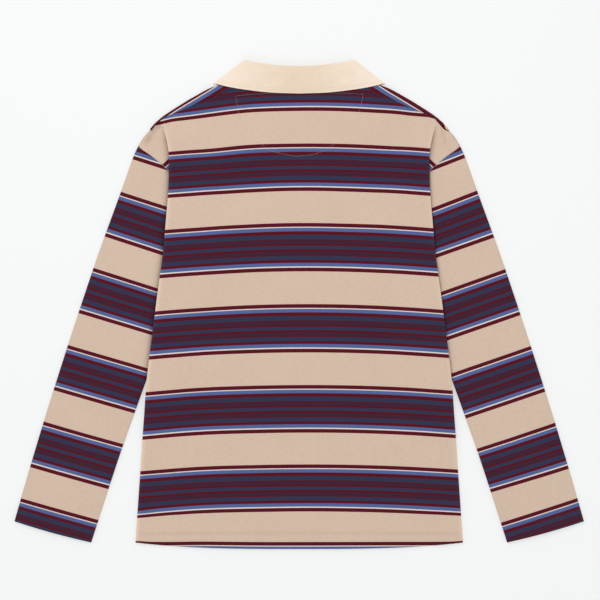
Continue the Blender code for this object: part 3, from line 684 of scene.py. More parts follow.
back_grid, back_parts = refined(np.array([back_row(row) for row in EDGE_ROWS]), BACK_SPACING)
back_grid = both_halves(back_grid)
past = blend_past(back_parts, *(len(BACK_COLUMNS) + column for column in FLAP_BLEND))
on_panel = blend_past(back_parts, len(BACK_COLUMNS) - 2, len(BACK_COLUMNS) - 1)
x, y = back_grid[..., 0], back_grid[..., 1]
down = body_stripes(x, y) * (1.0 - past) + flap_stripes(x, y) * past
back_grid[..., 2] += soft_folds(x, y, BACK_FOLDS) * (1.0 - on_panel) + soft_folds(x, y, FLAP_FOLDS) * past
out = out_from_edge(x, y)
back_grid[..., 2] += EDGE_RISE * np.exp(-(out / EDGE_SOFT) ** 2) * stacked_by(y) * (1.0 - past)
back = cloth_mesh("back_panel", back_grid, down, striped_jersey)
# Painted highlight along the body's folded edge, stronger on the left, and painted shade beside it and in the
# flap's troughs
painted_edge_highlight = np.exp(-np.abs(out) / HIGHLIGHT_WIDTH) * np.where(x < 0.0, 1.0, HIGHLIGHT_RIGHT)
shade = np.maximum(painted_shade_beside_edge(x, y), soft_folds(x, y, FLAP_SHADES))
mark(back, back_grid, pressed=painted_edge_highlight * tucked_by(y) * (1.0 - past), sheltered=shade * past)
dress(back, "back", JERSEY)

# The hem is turned up and sewn with two needles, and a half-moon of the same thread below the
# collar holds a patch on the inside.
NEEDLE_GAP = 3.2        # between the two rows of a hem
HEM_LINE = ((-240.5, -344.0), (-120.0, -343.4), (0.0, -343.2), (120.0, -343.4), (241.0, -344.0))
HALF_MOON = (
    ((-30, 317), (-70, 315.2), (-95.6, 312.8)),
    ((-95.6, 312.8), (-92.6, 300.2), (-89.8, 283.7), (-82.1, 265.7), (-60, 243.2), (-42.9, 231.2),
     (-8.4, 222.9), (3, 222.9), (26, 226.7), (52.8, 240.2), (77.7, 265.7), (90, 291.2), (95.9, 315)),
    ((95.9, 315), (70, 316.4), (30, 317.6)),
)
CAST_FROM = 50.0        # above or below, where the search for the cloth starts
FIRST_STITCH = 0.2      # from the start of a run
STITCH_SHARE = 2.6 / 3.2        # of the pitch that a stitch shows
# A stitch's form: (share of its length, share of its width), and how far it rises and sinks
STITCH_FORM, STITCH_UP, STITCH_DOWN = ((0.14, 0.75), (0.5, 1.0), (0.86, 0.75)), 0.62, 0.4


def make_thread(name, colour, second):
    """Sewing cotton: twisted, slightly shiny."""
    material, tree, shader = new_material(name, 0.6)
    twist = speckle(tree, node(tree, "TexCoord", {})["Object"], 2500.0, 0.5, 1.0)
    tree.links.new(colour_mix(tree, twist, light_colour(colour), light_colour(second)), shader["Base Color"])
    tree.links.new(bump(tree, twist, 0.05 * MM, 0.5), shader["Normal"])
    return material


def laid_on(piece, path, side=1.0, spacing=2.0):
    """Points and normals where a path across the shirt lies on a piece, from above or from below."""
    tree = BVHTree.FromObject(piece, bpy.context.evaluated_depsgraph_get())
    run = []
    for p, q in zip(path, path[1:]):
        count = max(1, round(math.dist(p, q) / spacing))
        for k in range(count + (q is path[-1])):
            x, y = mix(p, q, k / count)
            above = Vector((x, y, side * CAST_FROM)) * MM
            hit, normal, _, _ = tree.ray_cast(above, Vector((0, 0, -side)))
            if hit:
                run.append((hit / MM, normal if normal.z * side > 0 else -normal))
    return run


def rounded(path, spacing=6.0):
    """The path's points joined by a smooth curve."""
    grid = np.array([[(*point, 0.0)] for point in path])
    return [tuple(p[0, :2]) for p in refine(grid, steps_for(grid, spacing))]


def two_rows(path):
    """The path and its second needle's."""
    return path, tuple((x, y + NEEDLE_GAP) for x, y in path)


def sew(name, runs, material, pitch=3.2, thread=0.42):
    """One piece of all the stitches along some runs of (point, normal), each a small raised bar."""
    verts, faces = [], []
    for run in filter(None, runs):
        reached = travelled(np.array([[tuple(point) for point, _ in run]]), 1)[0]
        for k in range(int(reached[-1] / pitch)):
            ends = []
            for at in (k * pitch + FIRST_STITCH, (k + STITCH_SHARE) * pitch + FIRST_STITCH):
                i = min(max(int(np.searchsorted(reached, at)) - 1, 0), len(run) - 2)
                share = min((at - reached[i]) / max(reached[i + 1] - reached[i], 1e-6), 1.0)
                ends += [p.lerp(q, share) for p, q in zip(run[i], run[i + 1])]
            start, normal, end, _ = ends
            normal.normalize()
            across = (end - start).cross(normal).normalized() * thread
            sunk = normal * thread * STITCH_DOWN
            first = len(verts)
            verts.append(start - sunk)
            for share, size in STITCH_FORM:
                middle = start.lerp(end, share)
                verts += [middle + across * size * 0.5, middle + normal * thread * STITCH_UP * size,
                          middle - across * size * 0.5, middle - sunk]
            verts.append(end - sunk)
            for side in range(4):
                turn = (side + 1) % 4
                faces.append((first, first + 1 + side, first + 1 + turn))
                for ring in (first + 1, first + 5):
                    faces.append((ring + side, ring + 4 + side, ring + 4 + turn, ring + turn))
                faces.append((first + 9 + side, first + 13, first + 9 + turn))
    mesh = bpy.data.meshes.new(name)
    mesh.from_pydata([tuple(v * MM) for v in verts], [], faces)
    mesh.shade_smooth()
    piece = put(name, mesh, material)
    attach(piece, "root")
    return piece


beige_thread = make_thread("beige_thread", (196, 170, 150), (170, 142, 124))
pale_thread = make_thread("pale_thread", (222, 205, 188), (192, 172, 156))
back_hem = sew("back_hem_stitches", [laid_on(back, path) for path in two_rows(HEM_LINE)], beige_thread)
half_moon = sew("half_moon_stitches", [laid_on(back, rounded(path)) for path in HALF_MOON], pale_thread,
                2.9, 0.27)

# ----------------------------------------------------------------------------------------- Front
# One panel of the same jersey, lying face down on the surface. Its top runs over the shoulders to
# a seam on the back, and it is slit from the neck for the placket.
FRONT_SPACING = 6.0
SEAM_GAP = 0.4
SLIT_END = PLACKET_LOW + 8.0
SHOULDER = (
    (88, 331.5), (104, 331), (118, 329), (128, 327), (139, 322.4), (153, 314.4),
    (171, 303.8), (189, 292.8), (198, 286.9), (207, 280.3), (216, 272.2), (223.4, 263.4),
)
# Neck edge from the placket to the shoulder, and where its columns fall to: (a, y, column)
FRONT_NECK = ((15, 258.5, 15), (27, 261.5, 25), (42, 270, 38), (64, 291.5, 62),
              (88, 331.5, 92))
FRONT_OUTER = (0.3, 0.6, 0.85, 1.0)
STRIP_TURNS = (0, 60, 120)      # round the shoulder fold
NEARBY = 0.02           # share of the shoulder fold between points that give its direction
STRIPES_FROM = (81.0, 358.0)    # the strip's stripes run straight up from the shoulder to here
TURNED_UNDER = (2.8, 0.6)       # of the first stripe, at the left and right shoulder fold
STRIP_ENDS = (215.5, 222.0, 4.5)        # its stripes draw in by this much between these, on the right
STRIP_WIDTH = 60.0      # on the lower side, the strip's stripes give way to the panel's over this
FRONT_FOLDS = (
    (-170, 210, -90, 120, 12, 20, 0.4), (120, 190, 176, 60, -8, 18, 0.42),
    (-60, 60, 80, 20, 10, 24, 0.4), (-196, -20, -110, -130, -10, 22, 0.38),
    (40, -90, 190, -60, -12, 20, 0.42), (-120, -210, 30, -260, 8, 26, 0.4),
    (90, -200, 150, -330, 9, 18, 0.36), (-204, -230, -160, -320, 5, 16, 0.42),
)


def front_row(row):
    """One row of the front's lower side, from the placket's edge (or the centre) outwards."""
    drop = row_drop(row)
    keep = (1.0 - drop) ** 2
    fold_end = along(SHOULDER, TUCK_START)[0]
    edge = fold_end + (body_edge(row) - BEND - fold_end) * tuck_amount(row)
    tops = [(column + (a - column) * keep, y) for a, y, column in FRONT_NECK]
    inner_a = tops[-1][0]
    tops += [(inner_a + (edge - inner_a) * share, along(SHOULDER, TUCK_START * share)[1])
             for share in FRONT_OUTER]
    points = [MISSING]
    for a, top in tops:
        y = row + (top - EDGE_ROWS[0]) * keep - HEM_SAG * drop * (1.0 - (a / edge) ** HEM_CURVE)
        points.append((a, y, front_z(a, y)))
    return points + fold_columns(row, FRONT_Z, FRONT_Z + LAYER, FRONT_Z, points[-1][:2])


def over_the_shoulder():
    """Rows of the front's strip: its seam on the back, round the shoulder fold, and below it."""
    rows = [[MISSING] * len(FRONT_NECK) for _ in range(len(STRIP_TURNS) + 2)]
    for share in [0.0] + [TUCK_START * share for share in FRONT_OUTER] + TUCK_SHARES:
        a, y = along(SHOULDER, share)
        p, q = along(SHOULDER, max(share - NEARBY, 0.0)), along(SHOULDER, min(share + NEARBY, 1.0))
        out = (-(q[1] - p[1]) / math.dist(p, q), (q[0] - p[0]) / math.dist(p, q))
        radius = (back_z(a, y) - front_z(a, y)) / 2.0
        middle = (a - out[0] * radius, y - out[1] * radius, front_z(a, y) + radius)
        seam = [c + o * SEAM_GAP for c, o in zip(along(SHOULDER_SEAM, share), out)]
        points = [(*seam, back_z(*seam))] + arc(middle, out, radius, radius, STRIP_TURNS)
        for row, point in zip(rows, points + [(*middle[:2], middle[2] - radius)]):
            row.append(point)
    return rows


def from_shoulder(x, y):
    """Distance in from the shoulder fold, straight across it."""
    a, nearest = np.abs(x), np.full(x.shape, 1e9)
    line = (STRIPES_FROM,) + SHOULDER[4:]
    for p, q in zip(line, line[1:]):
        dx, dy = q[0] - p[0], q[1] - p[1]
        t = np.clip(((a - p[0]) * dx + (y - p[1]) * dy) / (dx * dx + dy * dy), 0.0, 1.0)
        nearest = np.fmin(nearest, np.hypot(a - p[0] - t * dx, y - p[1] - t * dy))
    return nearest


*over, lower = over_the_shoulder()
front_rows = [front_row(row) for row in EDGE_ROWS]
front_rows[0] = front_rows[0][:len(FRONT_NECK)] + lower[len(FRONT_NECK):]
slit_end = next(i for i, row in enumerate(front_rows) if row[1][1] < SLIT_END)
slit = front_rows[slit_end][1][1]
for row in front_rows[slit_end:]:
    y = slit if row is front_rows[slit_end] else row[1][1] - (row[2][1] - row[1][1]) * 0.5
    row[0] = (0.0, y, front_z(0.0, y))
front_grid = np.array(over + front_rows)
over_steps = sum(steps_for(front_grid, FRONT_SPACING)[:len(over)])
front_grid, front_parts = refined(front_grid, FRONT_SPACING)
front_grid = both_halves(front_grid)
past = blend_past(front_parts, *(len(FRONT_NECK) + len(FRONT_OUTER) + 1 + column for column in FLAP_BLEND))
x, y = front_grid[..., 0], front_grid[..., 1]
inward = from_shoulder(x, y)
on_top = (np.arange(front_grid.shape[0]) < over_steps)[:, None]
strip = (BEIGE_WIDTH + np.where(x < 0.0, *TURNED_UNDER) + np.where(on_top, inward, -inward)
         - np.interp(x, STRIP_ENDS[:2], (0.0, STRIP_ENDS[2]))) / REPEAT
near = np.clip(1.0 - inward / STRIP_WIDTH, 0.0, 1.0) ** 0.5
body = body_stripes(x, y) * (1.0 - past) + flap_stripes(x, y) * past
front_grid[..., 2] += np.where(on_top, 0.0, soft_folds(x, y, FRONT_FOLDS) * (1.0 - past))
down = np.where(on_top, strip, strip * near + body * (1.0 - near))
front = cloth_mesh("front_panel", front_grid, down, striped_jersey)
dress(front, "front", JERSEY)
front_hem = sew("front_hem_stitches", [laid_on(front, path, -1.0) for path in two_rows(HEM_LINE)],
                beige_thread)

# --------------------------------------------------------------------------------------- Sleeves
# Two tubes of the same jersey, each sewn to the armhole and under the arm, with a plain turned hem
# at the cuff. They lie flat, tucked under the back's edge down to the elbow.
SLEEVE_SPACING = 5.0
# Outer and inner edge down to the cuff: (share of the length, a, y)
SLEEVE_OUT = (
    (0, 240.8, 237.9), (0.03, 246.6, 225.5), (0.06, 252.4, 210), (0.12, 265.2, 174),
    (0.3, 302, 72.3), (0.5, 339.8, -40.7), (0.7, 375.9, -153.6), (0.85, 401.6, -238.4),
    (1, 426.3, -324.1),
)
SLEEVE_IN = (
    (0, 145, 112), (0.06, 155, 88), (0.14, 171, 50), (0.3, 195.9, -20.8),
    (0.5, 229.4, -112.4), (0.7, 264.3, -209.3), (0.85, 288.4, -281.9), (1, 312.2, -355.6),
)
HEAD_SHARE = 0.15       # the sleeve's head follows the armhole's curve down to this share
HEAD_GAP = 0.15         # from the armhole, measured along the sleeve
SLEEVE_ROWS = (0, 0.03, 0.06, 0.1, 0.15, 0.2, 0.25, 0.3, 0.36, 0.42, 0.47, 0.52, 0.57, 0.63,
               0.72, 0.81, 0.9, 1)
SLEEVE_COLUMNS = [i / 6 for i in range(7)]
SLEEVE_LOFT, LOFT_SHAPE = 1.6, 0.7      # air inside a sleeve that lies flat, fuller near its edges
LOFT_STARTS = (0.02, 0.2)       # shares of the length over which the air comes in
LOFT_CLEAR = (2.0, 30.0)        # and distances from the back's edge, above the height where
LOFT_FREE = SLEEVE_FREE - 40.0  # the sleeve is free of it
TURN = (45, 90, 135)    # round the edge of a sleeve
CUFF_DIP = 1.2          # the cuff's edge bows a little
SLEEVE_START, SLEEVE_RUN = (257.25, 202.65), (169.5, -525.75)   # a line down the sleeve: point, way
# Where both edges of each beige band lie down each sleeve, and how they slant: (along, repeat, slant)
SLEEVE_STRIPES = {
    -1: ((-90, -1.6, 0), (-17.3, -1, 0), (33.9, BEIGE - 1, 0), (105.8, 0, -0.004),
           (154.7, BEIGE, 0.004), (225.9, 1, 0.021), (275.3, 1 + BEIGE, 0.029), (346.7, 2, 0.033),
           (395.3, 2 + BEIGE, 0.035), (467.1, 3, 0.038), (515.1, 3 + BEIGE, 0.038), (586, 4, 0.038)),
    1: ((-90, -1.6, -0.064), (-17.3, -1, -0.064), (34.1, BEIGE - 1, -0.06), (108.5, 0, -0.025),
          (158, BEIGE, -0.03), (230.9, 1, -0.02), (279, 1 + BEIGE, -0.02), (351.2, 2, -0.015),
          (399.1, 2 + BEIGE, -0.01), (470.7, 3, 0.017), (516.3, 3 + BEIGE, 0), (589, 4, 0)),
}
SLANT_ABOUT = 40.0      # in from the line, where the slant does nothing
# Soft folds of each sleeve's top: (x0, y0, x1, y1, bow, width, height)
SLEEVE_FOLDS = {
    -1: ((-268, 190, -222, 140, 6, 10, 0.8), (-252, 214, -214, 190, 3, 7, 0.8),
           (-300, 60, -236, 20, 8, 14, 0.7), (-330, -60, -250, -120, 10, 16, 0.7),
           (-368, -160, -300, -216, -8, 15, 0.8),
           (-392, -250, -330, -262, 6, 13, 0.8), (-276, 120, -240, 60, -6, 14, 0.5)),
    1: ((266, 196, 224, 150, -6, 11, 0.8), (250, 218, 216, 184, -3, 7, 0.7),
          (304, 46, 240, 18, -7, 15, 0.6), (336, -74, 262, -110, -9, 15, 0.8),
          (360, -140, 304, -232, 9, 17, 0.7), (396, -236, 326, -276, -5, 14, 0.8),
          (282, 110, 236, 84, 5, 13, 0.6)),
}
FOLDS_CLEAR = 30.0      # the folds come in over this distance from the back's edge
# Lower needle line of the cuff's hem: (a, y)
CUFF_LINE = ((419.4, -304.8), (402.0, -310.8), (362.0, -322.6), (330.0, -331.0), (307.8, -335.4))


def sleeve_section(share):
    """Ring of points round a flat sleeve, from its outer edge over the top and back below."""
    outer, inner = read_table(SLEEVE_OUT, share), read_table(SLEEVE_IN, share)
    keep = max(1.0 - share / HEAD_SHARE, 0.0) ** 2
    across = Vector((inner[0] - outer[0], inner[1] - outer[1])).normalized()
    down_sleeve = Vector((-across.y, across.x))
    top, bottom = [], []
    for column in SLEEVE_COLUMNS:
        curved = Vector(along(ARMHOLE, column)) - Vector(mix(ARMHOLE[0], ARMHOLE[-1], column))
        dip = HEAD_GAP * keep + CUFF_DIP * share * math.sin(math.pi * column)
        inset = BEND * {0.0: 1.0, 1.0: -1.0}.get(column, 0.0)
        a, y = Vector(mix(outer, inner, column)) + curved * keep + down_sleeve * dip + across * inset
        base = FRONT_Z + sleeve_rise(a, y) * tuck_amount(y)
        room = math.sin(math.pi * column) ** LOFT_SHAPE * ease(*LOFT_STARTS, share) * SLEEVE_LOFT
        clear = ease(*LOFT_CLEAR, a - body_edge(y)) if y > LOFT_FREE else 1.0
        top.append((a, y, base + LAYER + room * clear))
        bottom.append((a, y, base))
    inner_turn, outer_turn = (
        arc(mix(start, end, 0.5), across * way, BEND, (start[2] - end[2]) / 2.0, TURN)
        for start, end, way in ((top[-1], bottom[-1], 1.0), (bottom[0], top[0], -1.0)))
    return top + inner_turn + bottom[::-1] + outer_turn + top[:1]


def weld(piece, gap, closed=False):
    """Join the points that meet, and close the ends."""
    form = bmesh.new()
    form.from_mesh(piece.data)
    bmesh.ops.remove_doubles(form, verts=form.verts, dist=gap * MM)
    if closed:
        bmesh.ops.holes_fill(form, edges=[edge for edge in form.edges if edge.is_boundary])
        bmesh.ops.recalc_face_normals(form, faces=form.faces)
    form.to_mesh(piece.data)
    form.free()


navy_thread = make_thread("navy_thread", (44, 46, 70), (66, 54, 80))
run = np.array(SLEEVE_RUN) / np.linalg.norm(SLEEVE_RUN)
for side, name in ((-1.0, "sleeve_left"), (1.0, "sleeve_right")):
    rings = np.array([sleeve_section(share) for share in SLEEVE_ROWS])
    rings[..., 0] *= side
    tube, parts = refined(rings, SLEEVE_SPACING)
    x, y = tube[..., 0], tube[..., 1]
    column = np.arange(tube.shape[1]) / sum(parts[:len(SLEEVE_COLUMNS) - 1])
    on_top = np.sin(math.pi * np.clip(column, 0.0, 1.0)) ** 0.5
    clear = np.where(y > SLEEVE_FREE - FOLDS_CLEAR, np.clip(out_from_edge(x, y) / FOLDS_CLEAR, 0.0, 1.0), 1.0)
    painted_shade_beside_body = painted_shade_beside_edge(x, y)
    tube[..., 2] += soft_folds(x, y, SLEEVE_FOLDS[side]) * clear * on_top
    dx, dy = np.abs(x) - SLEEVE_START[0], y - SLEEVE_START[1]
    length, inward = dx * run[0] + dy * run[1], dx * run[1] - dy * run[0]
    length += straight(SLEEVE_STRIPES[side], length, 2) * (inward - SLANT_ABOUT)
    sleeve = cloth_mesh(name + "_tube", tube, straight(SLEEVE_STRIPES[side], length), striped_jersey,
                        travelled(tube, 1) * side)
    # Painted shade beside the back's folded edge, standing in for its shadow on the sleeve
    mark(sleeve, tube, sheltered=painted_shade_beside_body)
    weld(sleeve, 0.01)
    dress(sleeve, name, JERSEY)
    lines = [[(a * side, y) for a, y in path] for path in two_rows(CUFF_LINE)]
    cuff_stitches = sew(name + "_cuff_stitches", [laid_on(sleeve, path, face) for path in lines
                                                  for face in (1.0, -1.0)], navy_thread)

# ---------------------------------------------------------------------------------------- Collar
# A stand sewn round the neck and a leaf turned down over it, both of cream cotton twill in two
# layers. The leaf's edge is turned and stitched twice; its points lie under the front.
TWILL = 1.3
COLLAR_BEND = 1.2       # radius of the collar's roll
STAND_TOP_BACK, STAND_TOP_FRONT = 10.0, 3.05
COLLAR_SPACING = 2.6
# Stations from the centre back to the side: neck seam, roll and leaf edge: (a, y) each
COLLAR_BACK = (
    ((0, 325.6), (0, 355), (0, 316)),
    ((29, 326), (28, 356.1), (43, 317.6)),
    ((58, 327), (55, 359.2), (85, 322.5)),
    ((76, 328.6), (71, 362), (109, 326.8)),
    ((85.3, 332.2), (79.5, 364), (124.7, 330.9)),
)
# and on from the side to the centre front
COLLAR_FRONT = (
    COLLAR_BACK[-1],
    ((63.5, 292.2), (58, 322), (112, 283)),
    ((41.6, 270.8), (38, 298.5), (88, 252)),
    ((26.8, 262.4), (23.5, 291), (68, 233)),
    ((15, 259.4), (12.5, 288), (56, 225.5)),
    ((1, 258.6), (1, 287), (48, 222)),
)
LEAF_GAP = 0.3          # between the back and the leaf
LEAF_COLUMNS = (0.12, 0.3, 0.55, 0.8, 1.0)
STAND_COLUMNS = (0.0, 0.35, 0.7, 1.0)
ROLL_TURNS = (180, 135, 90, 45, 0)
TWILL_FACE, TWILL_SHADE = (251, 234, 216), (237, 216, 192)
SHADED_HALF = 10.0      # painted shade: the collar's colour turns to the shade colour in the middle, less and less this fast a metre
RIB, RIB_SLANT, RIB_BREAKS = 0.9, 0.8, 0.9
TOPSTITCH, HIGHLIGHT_RIM = (4.2, 7.5), 1.2        # two rows in from the leaf's edge, and the width of the painted highlight along that edge
WRINKLED = 6.0          # the leaf is wrinkled above this height, which is at the back
# Soft wrinkles of the leaf at the back: (x0, y0, x1, y1, bow, width, height)
COLLAR_FOLDS = (
    (-92, 354, -66, 328, 3, 5, 0.9), (-50, 358, -58, 324, -2, 6, 0.8),
    (-24, 354, -8, 322, 2, 6, 0.7), (-36, 350, -30, 326, 1, 4, -0.5),
    (20, 354, 32, 322, 2, 5, 0.8), (38, 354, 48, 324, 2, 4, 0.7),
    (54, 358, 78, 328, -3, 6, 0.9), (84, 356, 98, 334, 2, 4.5, 0.8),
    (-112, 338, -40, 330, -2, 5, 0.4), (46, 334, 112, 336, 2, 5, 0.4),
)
# Soft painted shade in its troughs, in the same columns
COLLAR_SHADES = (
    (-74, 352, -52, 326, 3, 6, 0.35), (-44, 356, -46, 324, -2, 4, 0.3),
    (-14, 354, 4, 322, 2, 8, 0.3), (30, 352, 40, 324, 2, 3.5, 0.4),
    (44, 350, 56, 324, 2, 3, 0.35), (66, 354, 88, 330, -3, 5, 0.4),
)


def make_weave():
    """Twill: fine slanting ribs, with the uneven thread of real cotton."""
    tree, given, gives = node_group("twill_weave", {"Cloth": "Vector", "Rib": "Float"},
                                    {"Height": "Float", "Thread": "Float"})
    across, down, _ = node(tree, "SeparateXYZ", {0: given["Cloth"]})
    slant = reckon(tree, "DIVIDE", reckon(tree, "MULTIPLY_ADD", down, RIB_SLANT, across), given["Rib"])
    ribs = reckon(tree, "SINE", reckon(tree, "MULTIPLY", slant, 2 * math.pi))
    broken = reckon(tree, "MULTIPLY", speckle(tree, given["Cloth"], 900.0), RIB_BREAKS)
    tree.links.new(reckon(tree, "ADD", ribs, broken), gives["Height"])
    tree.links.new(speckle(tree, given["Cloth"], 260.0, 4.0, 3.0), gives["Thread"])
    return tree


weave_group = make_weave()


def make_twill():
    material, tree, shader, cloth = cloth_material("collar_twill", 0.8, 0.12)
    weave = node(tree, "Group", {"Cloth": cloth, "Rib": RIB * MM}, node_tree=weave_group)
    soft = speckle(tree, cloth, 35.0)
    # Painted shade: the twill turns to its darker shade colour towards the collar's middle, and unevenly with
    # soft noise
    place = node(tree, "SeparateXYZ", {0: node(tree, "TexCoord", {})["Object"]})
    from_middle = reckon(tree, "MULTIPLY", reckon(tree, "ABSOLUTE", place[0]), SHADED_HALF)
    share = reckon(tree, "SUBTRACT", reckon(tree, "MULTIPLY_ADD", soft, 0.5, 0.9), from_middle)
    colour = colour_mix(tree, node(tree, "Clamp", {"Value": share})[0], light_colour(TWILL_FACE),
                        light_colour(TWILL_SHADE))
    # Painted highlight along the leaf's edge, and painted shade in its wrinkles' troughs
    colour = shade_marked(tree, colour, pressed=1.1, sheltered=0.93)
    colour = shade_by(tree, colour, weave["Thread"], 0.97, 1.03)
    # Slight painted shade in the grooves between the ribs
    colour = shade_by(tree, colour, weave["Height"], 0.985, 1.01)
    tree.links.new(colour, shader["Base Color"])
    ripple = bump(tree, soft, 1.2 * MM, 0.3)
    tree.links.new(bump(tree, weave["Height"], 0.06 * MM, 0.5, Normal=ripple), shader["Normal"])
    return material


def collar_sections():
    """(neck, roll, leaf edge, outward) for each station round the neck, as 3-D points."""
    over_back, over_front = JERSEY / 2 + LEAF_GAP + TWILL / 2, TWILL / 2
    behind = [((*neck, back_z(*neck)), (*roll, STAND_TOP_BACK), (*leaf, back_z(*leaf) + over_back),
               (0.0, 0.0, 1.0)) for neck, roll, leaf in COLLAR_BACK]
    before = [((*neck, front_z(*neck)), (*roll, STAND_TOP_FRONT), (*leaf, over_front),
               (0.0, 0.0, -1.0)) for neck, roll, leaf in COLLAR_FRONT]
    arcs = [arc(mix(high, low, 0.5), (1.0, 0.0), (high[2] - low[2]) / 2.0, (high[2] - low[2]) / 2.0, TURN)
            for high, low in zip(behind[-1], before[0])]
    return [[Vector(v) for v in section] for section in behind + list(zip(*arcs)) + before]


def inside_edge(grid, gap):
    """Points and normals on the leaf's outer face, a gap in from its edge."""
    run = []
    reached = travelled(grid[:, ::-1], 1)
    for i in range(2, len(grid) - 2):
        k = int(np.searchsorted(reached[i], gap))
        share = (gap - reached[i, k - 1]) / (reached[i, k] - reached[i, k - 1])
        start, end = Vector(grid[i, -k]), Vector(grid[i, -k - 1])
        normal = Vector(grid[i + 1, -k] - grid[i - 1, -k]).cross(end - start).normalized()
        run.append((start.lerp(end, share) + normal * TWILL / 2, normal))
    return run


collar_twill = make_twill()
cream_thread = make_thread("cream_thread", (236, 216, 190), (206, 184, 156))
stand_rows, leaf_rows = [], []
sections = collar_sections()
for number, (neck, roll, leaf, outward) in enumerate(sections):
    line = (sections[min(number + 1, len(sections) - 1)][1] - sections[max(number - 1, 0)][1]).normalized()
    up = (roll - neck).normalized()
    rise = (up - line * up.dot(line)).normalized()
    top = roll - up * SEAM_GAP / up.dot(rise)
    stand_rows.append([tuple(neck.lerp(top, share)) for share in STAND_COLUMNS])
    middle, start = roll + outward * COLLAR_BEND, roll + outward * 2.0 * COLLAR_BEND
    leaf_rows.append([tuple(middle + (rise * math.sin(w) + outward * math.cos(w)) * COLLAR_BEND)
                      for w in map(math.radians, ROLL_TURNS)]
                     + [tuple(start.lerp(leaf, share)) for share in LEAF_COLUMNS])
for name, rows, cut, held, rests in (("collar_stand", stand_rows, (0.4, 0.035), "laid", "front_panel"),
                                     ("collar_fall", leaf_rows, (0.56, 0.06), "folded",
                                      "collar_stand_cloth")):
    grid = both_halves(refined(np.array(rows), COLLAR_SPACING)[0], 0)
    x, y = grid[..., 0], grid[..., 1]
    wrinkled = (grid[..., 2] > WRINKLED) * (name == "collar_fall")
    grid[..., 2] += soft_folds(x, y, COLLAR_FOLDS) * wrinkled
    piece = cloth_mesh(name + "_cloth", grid, travelled(grid, 1) / REPEAT, collar_twill, travelled(grid, 0))
    sewn = []
    if name == "collar_fall":
        from_edge = travelled(grid[:, ::-1], 1)[:, ::-1]
        # Painted highlight along the leaf's edge, and painted shade in the troughs of its wrinkles
        mark(piece, grid, pressed=np.exp(-from_edge / HIGHLIGHT_RIM),
             sheltered=soft_folds(x, y, COLLAR_SHADES) * wrinkled)
        sewn = [sew("collar_stitches", [inside_edge(grid, gap) for gap in TOPSTITCH], cream_thread,
                    2.6, 0.5)]
    dress(piece, name, TWILL)

# --------------------------------------------------------------------------------------- Placket
# Two woven strips down the front's slit, one over the other, made from the collar's twill folded
# double, pressed and stitched along both sides.
STRIP_HALF = PLACKET_HALF - 0.7
STRIP_LAYERS = (("placket_top", slit + 0.9, FRONT_Z + PLACKET_LIFT),
                ("placket_under", slit + 3, FRONT_Z + PLACKET_LIFT + STRIP_PITCH))
STRIP_TOP = FRONT_NECK[0][1] - 1.6
# Across a strip: (share of the half width, share of the half thickness)
STRIP_EDGE = ((0.0, 1.0), (0.4, 0.96), (0.72, 0.9), (0.8, 0.78), (0.9, 0.98), (0.97, 0.85), (1.0, 0.0))
STRIP_SPACING = 3.0
STRIP_WAVE = 0.15       # a strip's sides waver this much
END_PINCH = 0.35        # share of the thickness left at its ends
STITCH_IN = 11.6        # the side stitches' distance from the middle
END_GAP, BOX = 2.0, 16.0        # from a strip's ends, and the height of the box stitched at its foot
BUTTON_YS = (238.0, 194.0, 150.0)
HOLE = (1.0, 7.0)       # half width and half height of a buttonhole's stitching
for name, low, level in STRIP_LAYERS:
    upper = [(share * STRIP_HALF, height * JERSEY / 2) for share, height in STRIP_EDGE]
    half_ring = upper + [(a, -z) for a, z in upper[-2::-1]]
    ring = half_ring + [(-a, z) for a, z in half_ring[-2:0:-1]] + half_ring[:1]
    count = round((STRIP_TOP - low) / STRIP_SPACING)
    grid = np.array([[(a + STRIP_WAVE * math.sin(i * 0.5), low + (STRIP_TOP - low) * i / count,
                       level + z * (1.0 if 0 < i < count else END_PINCH)) for a, z in ring]
                     for i in range(count + 1)])
    down = np.repeat(grid[:, :1, 1], grid.shape[1], axis=1) / REPEAT
    strip_piece = cloth_mesh(name + "_strip", grid, down, collar_twill, travelled(grid, 1))
    weld(strip_piece, 0.005, closed=True)
    dress(strip_piece, name)
    sides = [[(a, low + END_GAP), (a, STRIP_TOP - END_GAP)] for a in (-STITCH_IN, STITCH_IN)]
    if name == "placket_top":
        box = [(a, low + height) for a, height in ((-STITCH_IN, END_GAP), (STITCH_IN, END_GAP),
                                                   (STITCH_IN, BOX), (-STITCH_IN, BOX))]
        sides += [box, [box[0], box[2]], [box[1], box[3]]]
        sides += [[(half * HOLE[0], y + way * HOLE[1]) for half, way in
                   ((-1, -1), (-1, 1), (1, 1), (1, -1), (-1, -1))] for y in BUTTON_YS]
    strip_stitches = sew(name + "_stitches", [laid_on(strip_piece, path, -1.0, 0.8) for path in sides],
                         cream_thread, 2.4, 0.42)

